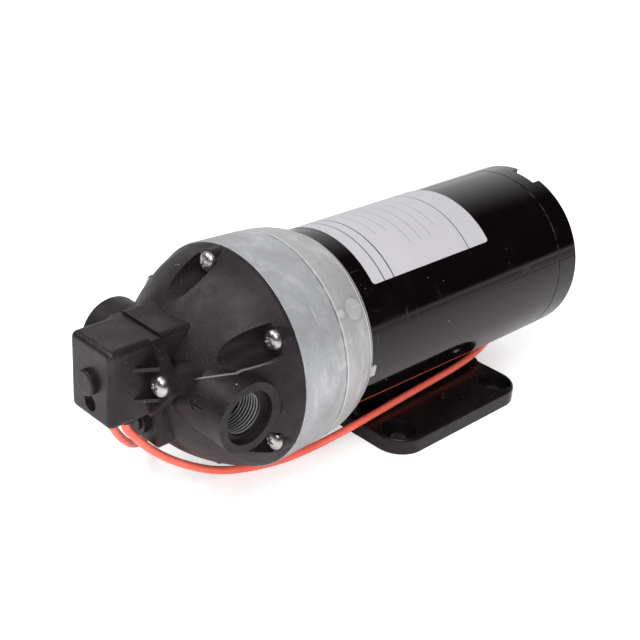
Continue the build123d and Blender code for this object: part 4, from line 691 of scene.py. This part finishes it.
def cast_metal(name, colour):
    """Bare pressure cast metal: flow clouds, dark stains, pale scuffs, pits, turned edges, and pads with
    painted shade round them and a painted highlight on their faces.
    """
    material, board, shader = new_material(name, 0.45, 0.35)
    where = board.place()
    part = board.parts(where)
    x = part["X"]
    cloud = board.noise(board.stretched(where, (2.2, 1.0, 1.0)), 34.0, 8.0, 0.62, 0.9)
    blotch = board.noise(where, 95.0, 5.0, 0.6, 0.4)
    speckle = board.noise(where, 900.0, 3.0, 0.7)
    cold = (0.84 * colour[0], 0.9 * colour[1], 0.93 * colour[2], 1.0)
    tone = board.blend(board.ramp(cloud, 0.34, 0.62), scaled(colour, 0.74), cold)
    tone = board.blend(board.ramp(cloud, 0.55, 0.72), tone, scaled(colour, 1.14))
    tone = board.blend(board.ramp(blotch, 0.52, 0.74, 0.0, 0.5), tone, scaled(colour, 1.3))
    tone = board.blend(board.ramp(blotch, 0.44, 0.26, 0.0, 0.45), tone, scaled(colour, 0.62))
    rear = board.ramp(x, RING_SEAM_X - 0.0002, RING_SEAM_X + 0.0002)
    tone = board.blend(board.times(rear, 0.4), tone, (0.62, 0.59, 0.57, 1.0))
    tone = board.blend(board.ramp(speckle, 0.45, 0.75, 0.0, 0.35), tone, scaled(colour, 0.55))
    stain = board.ramp(board.noise(where, 420.0, 5.0, 0.75), 0.58, 0.75, 0.0, 0.3)
    tone = board.blend(stain, tone, scaled(colour, 0.5))
    streak = board.noise(board.stretched(where, (1.0, 0.12, 0.12)), 420.0, 4.0, 0.6)
    flow = board.times(rear, board.ramp(streak, 0.35, 0.68), 0.35)
    tone = board.blend(flow, tone, scaled(colour, 0.62))
    front = board.times(rear, board.ramp(x, *RING_COLD_FADE), 0.4)
    tone = board.blend(front, tone, scaled(colour, 0.78))
    raised = 0.0
    for turn, station, radius, light in RING_PADS:
        away, near = pad_distance(board, part, turn, station)
        # Painted shade in a ring round each pad, and a painted highlight on its face
        shade = board.times(board.ramp(away, radius + 0.0012, radius, 0.0, 0.4), near)
        tone = board.blend(shade, tone, scaled(colour, 0.6))
        face = board.times(board.ramp(away, radius, radius - 0.0016), near)
        tone = board.blend(board.times(face, 0.5), tone, grey(light))
        raised = board.plus(face, raised)
    for station, half, light in RING_RIMS:
        tone = board.blend(board.ramp(board.gap(x, station), half, half * 0.5, 0.0, 0.8), tone, grey(light))
    lip = board.ramp(board.gap(x, RING_LIP_X), 0.0004, 0.0002, 0.0, 0.5)
    tone = board.blend(lip, tone, grey(0.8))
    seam = board.ramp(board.gap(x, RING_SEAM_X), 0.00055, 0.0003, 0.0, 0.9)
    tone = board.blend(seam, tone, scaled(colour, 0.12))
    rub = shared(board, "rub", line_scale=1100.0, amount=0.4)
    tone = board.blend(rub["Marks"], tone, grey(0.8))
    edges = shared(board, "edges", width=0.0005, amount=0.8)
    tone = board.blend(edges["Edge"], tone, grey(0.75))
    pits = board.plus(board.times(speckle, 0.5), board.times(blotch, 0.8))
    pits = board.plus(pits, board.times(raised, 3.0))
    rough = board.ramp(cloud, 0.3, 0.7, 0.58, 0.36)
    wire(board, shader, Base_Color=tone, Roughness=rough, Normal=board.bump(pits, 0.00018, 0.7))
    return material


def plated_metal(name, colour, low, high, stretch=(1.0, 1.0, 1.0)):
    """Plated or ground metal: faint grain along one way, cloudy gloss and darker hollows."""
    material, board, shader = new_material(name, 0.25, 1.0)
    where = board.place()
    grain = board.noise(board.stretched(where, stretch), 700.0, 3.0, 0.6)
    cloud = board.noise(where, 180.0, 4.0, 0.6)
    rub = shared(board, "rub", amount=0.5)
    tone = board.blend(board.ramp(cloud, 0.3, 0.7), scaled(colour, 0.72), scaled(colour, 1.12))
    tone = board.blend(rub["Marks"], tone, scaled(colour, 1.25))
    rough = board.ramp(grain, 0.3, 0.7, low, high)
    wire(board, shader, Base_Color=tone, Roughness=rough, Normal=board.bump(grain, 0.00002, 0.5))
    return material


def soft_rubber(name, colour, middle=0.62):
    """Rubber or carbon: matt, a fine bloom on it and a soft grain."""
    material, board, shader = new_material(name, middle)
    base = shared(board, "grain", grain_scale=1800.0, cloud_scale=140.0)
    bloom = shared(board, "dust", amount=0.4)
    tone = board.blend(base["Gloss"], scaled(colour, 0.8), scaled(colour, 1.3))
    tone = board.blend(bloom["Haze"], tone, scaled(colour, 2.2))
    rough = board.ramp(base["Gloss"], 0.0, 1.0, middle + 0.1, middle - 0.08)
    wire(board, shader, Base_Color=tone, Roughness=rough, Normal=board.bump(base["Height"], 0.00003))
    return material


def lead_skin(name, colour):
    """Smooth insulation of a lead: a faint cloud in its tone and sheen, dust and a fine grain."""
    material, board, shader = new_material(name, 0.34, Coat_Weight=0.15, Coat_Roughness=0.2)
    where = board.place()
    cloud = board.noise(where, 130.0, 5.0, 0.6)
    fine = board.noise(where, 1500.0, 2.0)
    dust = shared(board, "dust", speck_scale=700.0, amount=0.45)
    tone = board.blend(board.ramp(cloud, 0.3, 0.7), scaled(colour, 0.86), scaled(colour, 1.08))
    tone = board.blend(dust["Haze"], tone, (0.9, 0.2, 0.14, 1.0))
    tone = board.blend(dust["Specks"], tone, grey(0.12))
    rough = board.ramp(cloud, 0.3, 0.7, 0.42, 0.28)
    wire(board, shader, Base_Color=tone, Roughness=rough, Normal=board.bump(fine, 0.00002, 0.5))
    return material


def label_film(name, colour):
    """Satin label: thin ruled lines round the can at set stations, and blank writing lines between."""
    material, board, shader = new_material(name, 0.3)
    where = board.place()
    part = board.parts(where)
    angle = turn_round_shaft(board, part)
    lines = []
    for station, half in LABEL_RULES:
        lines.append(board.ramp(board.gap(part["X"], station), half, half * 0.5))
    below = board.math("LESS_THAN", angle, math.radians(LABEL_ROW_END))
    for i, low in enumerate(LABEL_ROW_STARTS):
        row = board.ramp(board.gap(part["X"], LABEL_ROW_X + LABEL_ROW_STEP * i), 0.00016, 0.00008)
        above = board.math("GREATER_THAN", angle, math.radians(low))
        lines.append(board.times(row, above, below, 0.75))
    ink = lines[0]
    for line in lines[1:]:
        ink = board.math("MAXIMUM", ink, line)
    cloud = board.noise(where, 45.0, 4.0, 0.6)
    tone = board.blend(board.ramp(cloud, 0.3, 0.7), scaled(colour, 0.97), scaled(colour, 1.03))
    tone = board.blend(board.times(ink, 0.95), tone, grey(0.02))
    rough = board.ramp(cloud, 0.2, 0.8, 0.36, 0.29)
    fibre = board.bump(board.noise(where, 500.0, 2.0), 0.000012, 0.5)
    wire(board, shader, Base_Color=tone, Roughness=rough, Normal=fibre)
    return material


def laminated_core(name, colour):
    """Stack of thin iron sheets: a dark line at each sheet's edge, slightly rusted."""
    material, board, shader = new_material(name, 0.5, 0.8)
    where = board.place()
    sheet = board.math("PINGPONG", board.parts(where)["X"], SHEET)
    line = board.ramp(sheet, 0.00004, 0.00012)
    rust = board.ramp(board.noise(where, 220.0, 5.0), 0.55, 0.75, 0.0, 0.5)
    tone = board.blend(line, scaled(colour, 0.35), scaled(colour, 1.1))
    tone = board.blend(rust, tone, (0.2, 0.09, 0.04, 1.0))
    wire(board, shader, Base_Color=tone, Normal=board.bump(line, 0.00004))
    return material


def wound_copper(name, colour):
    """Enamelled turns of wire: fine ridges that run across the end bundles, with painted shade in the grooves
    between them.
    """
    material, board, shader = new_material(name, 0.3, 0.9, Coat_Weight=0.4, Coat_Roughness=0.15)
    where = board.place()
    part = board.parts(where)
    angle = board.math("ARCTAN2", board.less(part["Z"], AXIS_Z), part["Y"])
    turns = board.plus(board.times(angle, WIRE_TURNS), board.times(part["X"], WIRE_LEAN))
    wave = board.math("SINE", turns)
    cloud = board.noise(where, 150.0, 4.0)
    # Painted shade: darker in the grooves between the turns, paler on their crests
    tone = board.blend(board.ramp(wave, -1.0, 0.6), scaled(colour, 0.45), scaled(colour, 1.05))
    tone = board.blend(board.ramp(cloud, 0.5, 0.75, 0.0, 0.5), tone, scaled(colour, 0.6))
    wire(board, shader, Base_Color=tone, Normal=board.bump(wave, 0.0002))
    return material


def thread_plastic(name, colour):
    """Moulded thread: painted shade in the roots and a painted highlight on the crests, by the distance from
    the port's own axis.
    """
    material, board, shader = new_material(name, 0.4)
    part = board.parts(board.place())
    across = board.less(part["X"], PORT_X)
    rise = board.less(part["Z"], PORT_Z)
    square = board.plus(board.times(across, across), board.times(rise, rise))
    crest = board.ramp(board.math("SQRT", square), *CREST_HIGHLIGHT_BAND)
    base = shared(board, "grain")
    # Painted shade in the roots and a painted highlight on the crests, both set by the radius
    tone = board.blend(crest, scaled(colour, 0.4), grey(0.17))
    rough = board.ramp(crest, 0.0, 1.0, 0.5, 0.24)
    wire(board, shader, Base_Color=tone, Roughness=rough, Normal=board.bump(base["Height"], 0.00002))
    return material


def make_finishes(tints):
    """Every finish of the pump by the name of its slot in the record."""
    head = tints.head_colour
    return {
        "head_plastic": moulded_plastic("Head Plastic", head, 0.42, 0.56, dust=0.7, parted=True),
        "thread": thread_plastic("Thread Plastic", head),
        "switch_plastic": moulded_plastic("Switch Plastic", head, 0.34, 0.46, relief=0.00007, dust=1.0),
        "foot_plastic": moulded_plastic("Foot Plastic", tints.foot_colour, 0.24, 0.36, relief=0.00002),
        "valve_plastic": moulded_plastic("Valve Plastic", (0.62, 0.6, 0.54), 0.38, 0.5, dust=0.2, edge_wear_and_highlight=0.1),
        "button_red": moulded_plastic("Button Plastic", (0.45, 0.03, 0.025), 0.3, 0.42, dust=0.1, edge_wear_and_highlight=0.1),
        "can_steel": gloss_enamel("Can Enamel", tints.can_colour),
        "cast_housing": cast_metal("Cast Ring", tints.ring_colour),
        "label_film": label_film("Label Film", tints.label_colour),
        "plated_steel": plated_metal("Plated Steel", (0.60, 0.57, 0.56), 0.26, 0.4),
        "bearing_steel": plated_metal("Bearing Steel", (0.66, 0.66, 0.67), 0.12, 0.24, (1.0, 0.1, 0.1)),
        "rubber_black": soft_rubber("Black Rubber", (0.018, 0.018, 0.019)),
        "carbon": soft_rubber("Pressed Carbon", (0.03, 0.03, 0.031), 0.5),
        "magnet_ferrite": soft_rubber("Ferrite", (0.07, 0.07, 0.075), 0.45),
        "lead_red": lead_skin("Lead Skin", tints.lead_colour),
        "core_iron": laminated_core("Armature Core", (0.3, 0.3, 0.31)),
        "copper": wound_copper("Copper", (0.74, 0.33, 0.16)),
    }


FINISHES = {}


def finish_of(slot):
    """The finish of one slot."""
    if slot not in FINISHES:
        raise RuntimeError(f"there is no finish for {slot}")
    return FINISHES[slot]


def dress(piece, body, slot, *nodes, finish=None):
    """Gives a new piece its body and the finish of its slot, unless another finish is named, and lets it
    stand for its nodes.
    """
    piece.data.materials.clear()
    piece.data.materials.append(finish_of(finish or slot))
    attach(piece, body)
    if nodes:
        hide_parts(*nodes)
    return piece


def polar(angle, radius):
    """Y and Z of a place round the shaft, counted from the -Y side upwards."""
    turn = math.radians(angle)
    return -radius * math.cos(turn), AXIS_Z + radius * math.sin(turn)


class PUMP_OT_finishes(bpy.types.Operator):
    """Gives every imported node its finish"""

    bl_idname = "pump.finishes"
    bl_label = "Finishes"

    def execute(self, context):
        FINISHES.update(make_finishes(context.scene.pump_finishes))
        slots = {part["node"]: part["material_slot"] for part in frame["record"]["subparts"]}
        for name, node in NODES.items():
            node.data.materials.clear()
            node.data.materials.append(finish_of(slots[name]))
        return {"FINISHED"}


class PUMP_OT_threads(bpy.types.Operator):
    """Cuts the pipe thread's turns into both ports"""

    bl_idname = "pump.threads"
    bl_label = "Port Threads"

    def execute(self, context):
        sizes = context.scene.pump_ports
        sleeve = thread_sleeve(sizes, THREAD_IN, THREAD_OUT, THREAD_WALL)
        for name, side in (("outlet_thread", -1.0), ("inlet_thread", 1.0)):
            grid = put(sleeve, (PORT_X, 0.0, PORT_Z), (0.0, side, 0.0))
            dress(lay(name, [grid], wrap_rows=True, sharp=50.0), "case", "head_plastic", finish="thread")
        return {"FINISHED"}


def screw_places(angles, radius, x):
    """Seats on one circle round the shaft, facing the head's side."""
    return [((x, *polar(angle, radius)), (-1.0, 0.0, 0.0)) for angle in angles]


def screw_seats():
    """Seat and aim of every screw, by its node."""
    sixths = [HEAD_SCREW_ANGLE + 60.0 * i for i in range(6)]
    thirds = [90.0 + 120.0 * i for i in range(3)]
    tilt = Matrix.Rotation(math.radians(-WOBBLE_TILT), 3, "Y")
    centre = Vector((WOBBLE_X, 0.0, AXIS_Z))
    ear_x, ear_y, ear_z = EAR_SEAT
    return {
        "head_screws": screw_places(sixths, *HEAD_CIRCLE),
        "switch_screws": [((ear_x, side * ear_y, ear_z), (-1.0, 0.0, 0.0)) for side in (-1, 1)],
        "mount_screws": screw_places(thirds, *MOUNT_CIRCLE),
        "foot_screws": [((end * FOOT_SEAT_X, 0.0, FOOT_SEAT_Z), (0.0, 0.0, -1.0)) for end in (-1, 1)],
        "piston_screws": [
            (tuple(centre + tilt @ (Vector(seat) - centre)), tuple(tilt @ Vector(aim)))
            for seat, aim in screw_places(thirds, *PISTON_CIRCLE)
        ],
    }


class PUMP_OT_screws(bpy.types.Operator):
    """Makes every screw with its cross recess and thread"""

    bl_idname = "pump.screws"
    bl_label = "Screws"

    def execute(self, context):
        sizes = context.scene.pump_screws
        seats = screw_seats()
        for name, body, head_radius, head_height, shank_radius, length in SCREW_SIZES:
            head = screw_head(sizes, head_radius, head_height)
            shank = screw_shank(sizes, shank_radius, length)
            grids = []
            for i, (seat, aim) in enumerate(seats[name]):
                turn = FIRST_TURN + NEXT_TURN * i
                grids.append(put(head, seat, aim, turn))
                grids.append(put(shank, seat, aim, turn))
            dress(lay(f"{name}_cut", grids, sharp=40.0), body, "plated_steel", name)
        return {"FINISHED"}


class PUMP_OT_springs(bpy.types.Operator):
    """Gives both springs and the switch's seal a mesh of their own"""

    bl_idname = "pump.springs"
    bl_label = "Springs"

    def execute(self, context):
        for name, joint, fixed, travel in SPRINGS:
            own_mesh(NODES[name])
        return {"FINISHED"}


def lead_curve(name, route, diameter):
    """A smooth lead through its route's control points."""
    curve = bpy.data.curves.new(name, "CURVE")
    curve.dimensions = "3D"
    curve.bevel_depth = diameter / 2
    curve.bevel_resolution = 6
    curve.resolution_u = 16
    curve.use_fill_caps = True
    spline = curve.splines.new("NURBS")
    spline.points.add(len(route) - 1)
    for point, place in zip(spline.points, route):
        point.co = (*place, 1.0)
    spline.order_u = 3
    spline.use_endpoint_u = True
    piece = bpy.data.objects.new(name, curve)
    bpy.context.scene.collection.objects.link(piece)
    return piece


class PUMP_OT_leads(bpy.types.Operator):
    """Lays the motor lead and the supply lead with its bare end"""

    bl_idname = "pump.leads"
    bl_label = "Leads"

    def execute(self, context):
        sizes = context.scene.pump_leads
        motor = lead_curve("motor_lead_skin", MOTOR_LEAD_ROUTE, sizes.diameter)
        dress(motor, "case", "lead_red", "motor_lead")
        end = Vector(SUPPLY_LEAD_ROUTE[-1])
        aim = end - Vector(SUPPLY_LEAD_ROUTE[-2])
        grids = [put(grid, end, aim) for grid in strand_bundle(sizes.strand_radius, sizes.strand_length)]
        strand = dress(lay("supply_strand_twist", grids), "case", "copper", "supply_strand")
        supply = lead_curve("supply_lead_skin", SUPPLY_LEAD_ROUTE, sizes.diameter)
        dress(supply, "case", "lead_red", "supply_lead")
        return {"FINISHED"}


def area_lamp(name, place, size, power):
    """A soft lamp aimed at the pump."""
    light = bpy.data.lights.new(name, "AREA")
    light.shape = "RECTANGLE"
    light.size, light.size_y = size
    light.energy = power
    lamp = bpy.data.objects.new(name, light)
    lamp.location = place
    lamp.rotation_euler = (Vector(LAMP_AIM) - Vector(place)).to_track_quat("-Z", "Y").to_euler()
    bpy.context.scene.collection.objects.link(lamp)
    return lamp


def seen_by_eye(board):
    """1 for camera, mirror and see-through rays, 0 for soft light."""
    path = board.add("ShaderNodeLightPath").outputs
    mirrored = board.math("MAXIMUM", path["Is Glossy Ray"], path["Is Transmission Ray"])
    return board.math("MAXIMUM", path["Is Camera Ray"], mirrored)


def build_room(strength):
    """Room round the set. The eye sees plain white. Mirrors see a white far side that fades into a black hall
    towards the near side, and a pale line along the floor. Soft light comes evenly from all round."""
    world = bpy.data.worlds.new("Studio")
    bpy.context.scene.world = world
    world.use_nodes = True
    tree = world.node_tree
    tree.nodes.clear()
    board = Board(tree)
    part = board.parts(board.add("ShaderNodeTexCoord").outputs["Generated"])
    away = board.plus(board.times(part["X"], FAR_SIDE[0]), board.times(part["Y"], FAR_SIDE[1]))
    wall = board.math("MAXIMUM", board.ramp(away, 0.5, 0.95), board.ramp(part["Z"], 0.07, 0.0))
    tone = board.blend(wall, grey(0.005), grey(1.0))
    path = board.add("ShaderNodeLightPath").outputs
    tone = board.blend(path["Is Camera Ray"], tone, grey(1.0))
    shown = board.add("ShaderNodeBackground", {"Color": tone, "Strength": 1.0})
    soft = board.add("ShaderNodeBackground", {"Color": (0.97, 0.98, 1.0, 1.0), "Strength": strength})
    eye = seen_by_eye(board)
    mix = board.add("ShaderNodeMixShader", {0: eye, 1: soft.outputs[0], 2: shown.outputs[0]})
    board.add("ShaderNodeOutputWorld", {"Surface": mix.outputs[0]})


def build_floor(size):
    """Plain pale floor: a flat square grid, white to the eye apart from the pump's shadow."""
    side = np.linspace(-size / 2, size / 2, 3)
    x, y = np.meshgrid(side, side, indexing="ij")
    points = np.stack([x, y, 0.0 * x], -1).reshape(-1, 3)
    faces = [(i * 3 + j, i * 3 + 3 + j, i * 3 + 4 + j, i * 3 + 1 + j) for i in range(2) for j in range(2)]
    mesh = bpy.data.meshes.new("Floor")
    mesh.from_pydata(points.tolist(), [], faces)
    floor = bpy.data.objects.new("Floor", mesh)
    bpy.context.scene.collection.objects.link(floor)
    material, board, shader = new_material("Pale Floor", 0.6)
    shader.inputs["Base Color"].default_value = grey(0.9)
    eye = board.add("ShaderNodeLightPath").outputs["Is Camera Ray"]
    far = board.add("ShaderNodeVectorMath", {0: board.place()}, operation="LENGTH").outputs["Value"]
    shown = board.times(eye, board.ramp(far, 0.5, 2.5, 0.4, 1.0))
    lift = board.plus(board.times(seen_by_eye(board), 0.10), shown)
    tone = board.blend(eye, (1.0, 0.76, 0.80, 1.0), grey(1.0))
    wire(board, shader, Emission_Color=tone, Emission_Strength=lift)
    mesh.materials.append(material)


def build_camera():
    """Camera at the photograph's place: turned, raised and rolled as it was, with its field of view."""
    turn, rise, roll = CAMERA_TURN, CAMERA_RISE, CAMERA_ROLL
    back = np.array([math.sin(turn) * math.cos(rise), -math.cos(turn) * math.cos(rise), math.sin(rise)])
    right = np.array([math.cos(turn), math.sin(turn), 0.0])
    up = np.cross(back, right)
    across = math.cos(roll) * right + math.sin(roll) * up
    above = -math.sin(roll) * right + math.cos(roll) * up
    place = CAMERA_BACK * back + CAMERA_ACROSS * across + CAMERA_ABOVE * above + np.array(CAMERA_AIM)
    data = bpy.data.cameras.new("Camera")
    data.sensor_fit = "HORIZONTAL"
    data.sensor_width = SENSOR
    data.lens = SENSOR * CAMERA_REACH
    data.clip_start = 0.01
    data.clip_end = 50.0
    camera = bpy.data.objects.new("Camera", data)
    basis = Matrix(np.stack([across, above, back], 1).tolist()).to_4x4()
    camera.matrix_world = Matrix.Translation(place.tolist()) @ basis
    bpy.context.scene.collection.objects.link(camera)
    bpy.context.scene.camera = camera


class PUMP_OT_stage(bpy.types.Operator):
    """Sets the floor, the soft lamps and the camera"""

    bl_idname = "pump.stage"
    bl_label = "Stage"

    def execute(self, context):
        sizes = context.scene.pump_stage
        context.scene.view_settings.view_transform = "Standard"
        build_room(sizes.room_light)
        build_floor(sizes.floor_size)
        build_camera()
        for name, place, size, power in LAMPS:
            lamp = area_lamp(name, place, size, getattr(sizes, power))
            lamp.visible_glossy = name != "Front"
        return {"FINISHED"}


class PUMP_PT_panel(bpy.types.Panel):
    """Lists the pump's pieces and their sizes."""

    bl_label = "Water Pump"
    bl_idname = "PUMP_PT_panel"
    bl_space_type = "VIEW_3D"
    bl_region_type = "UI"
    bl_category = "Water Pump"

    def draw(self, context):
        for group, _, operators in SETTINGS:
            box = self.layout.box()
            settings = getattr(context.scene, group)
            for name in settings.bl_rna.properties.keys():
                if name not in ("rna_type", "name"):
                    box.prop(settings, name)
            for operator in operators:
                box.operator(operator)


# Each group of settings by its name on the scene, with its class and the operators that read it
SETTINGS = (
    ("pump_finishes", PumpFinishes, ("pump.finishes",)),
    ("pump_ports", PumpPorts, ("pump.threads",)),
    ("pump_screws", PumpScrews, ("pump.screws", "pump.springs")),
    ("pump_leads", PumpLeads, ("pump.leads",)),
    ("pump_stage", PumpStage, ("pump.stage",)),
)

CLASSES = (
    *(group for _, group, _ in SETTINGS),
    PUMP_OT_finishes,
    PUMP_OT_threads,
    PUMP_OT_screws,
    PUMP_OT_springs,
    PUMP_OT_leads,
    PUMP_OT_stage,
    PUMP_PT_panel,
)


def register():
    """Registers the classes and hangs the settings on the scene."""
    for cls in CLASSES:
        bpy.utils.register_class(cls)
    for name, group, _ in SETTINGS:
        setattr(bpy.types.Scene, name, PointerProperty(type=group))


def unregister():
    """Takes the settings and the classes away again."""
    for name, _, _ in SETTINGS:
        delattr(bpy.types.Scene, name)
    for cls in reversed(CLASSES):
        bpy.utils.unregister_class(cls)


def plain(box):
    """A box of corners as plain lists."""
    return [[float(value) for value in corner] for corner in box]


def main():
    """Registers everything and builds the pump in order."""
    register()
    bpy.ops.pump.stage()
    bpy.ops.pump.finishes()
    bpy.ops.pump.leads()
    bpy.ops.pump.threads()
    bpy.ops.pump.screws()
    bpy.ops.pump.springs()


if __name__ == "__main__":
    main()
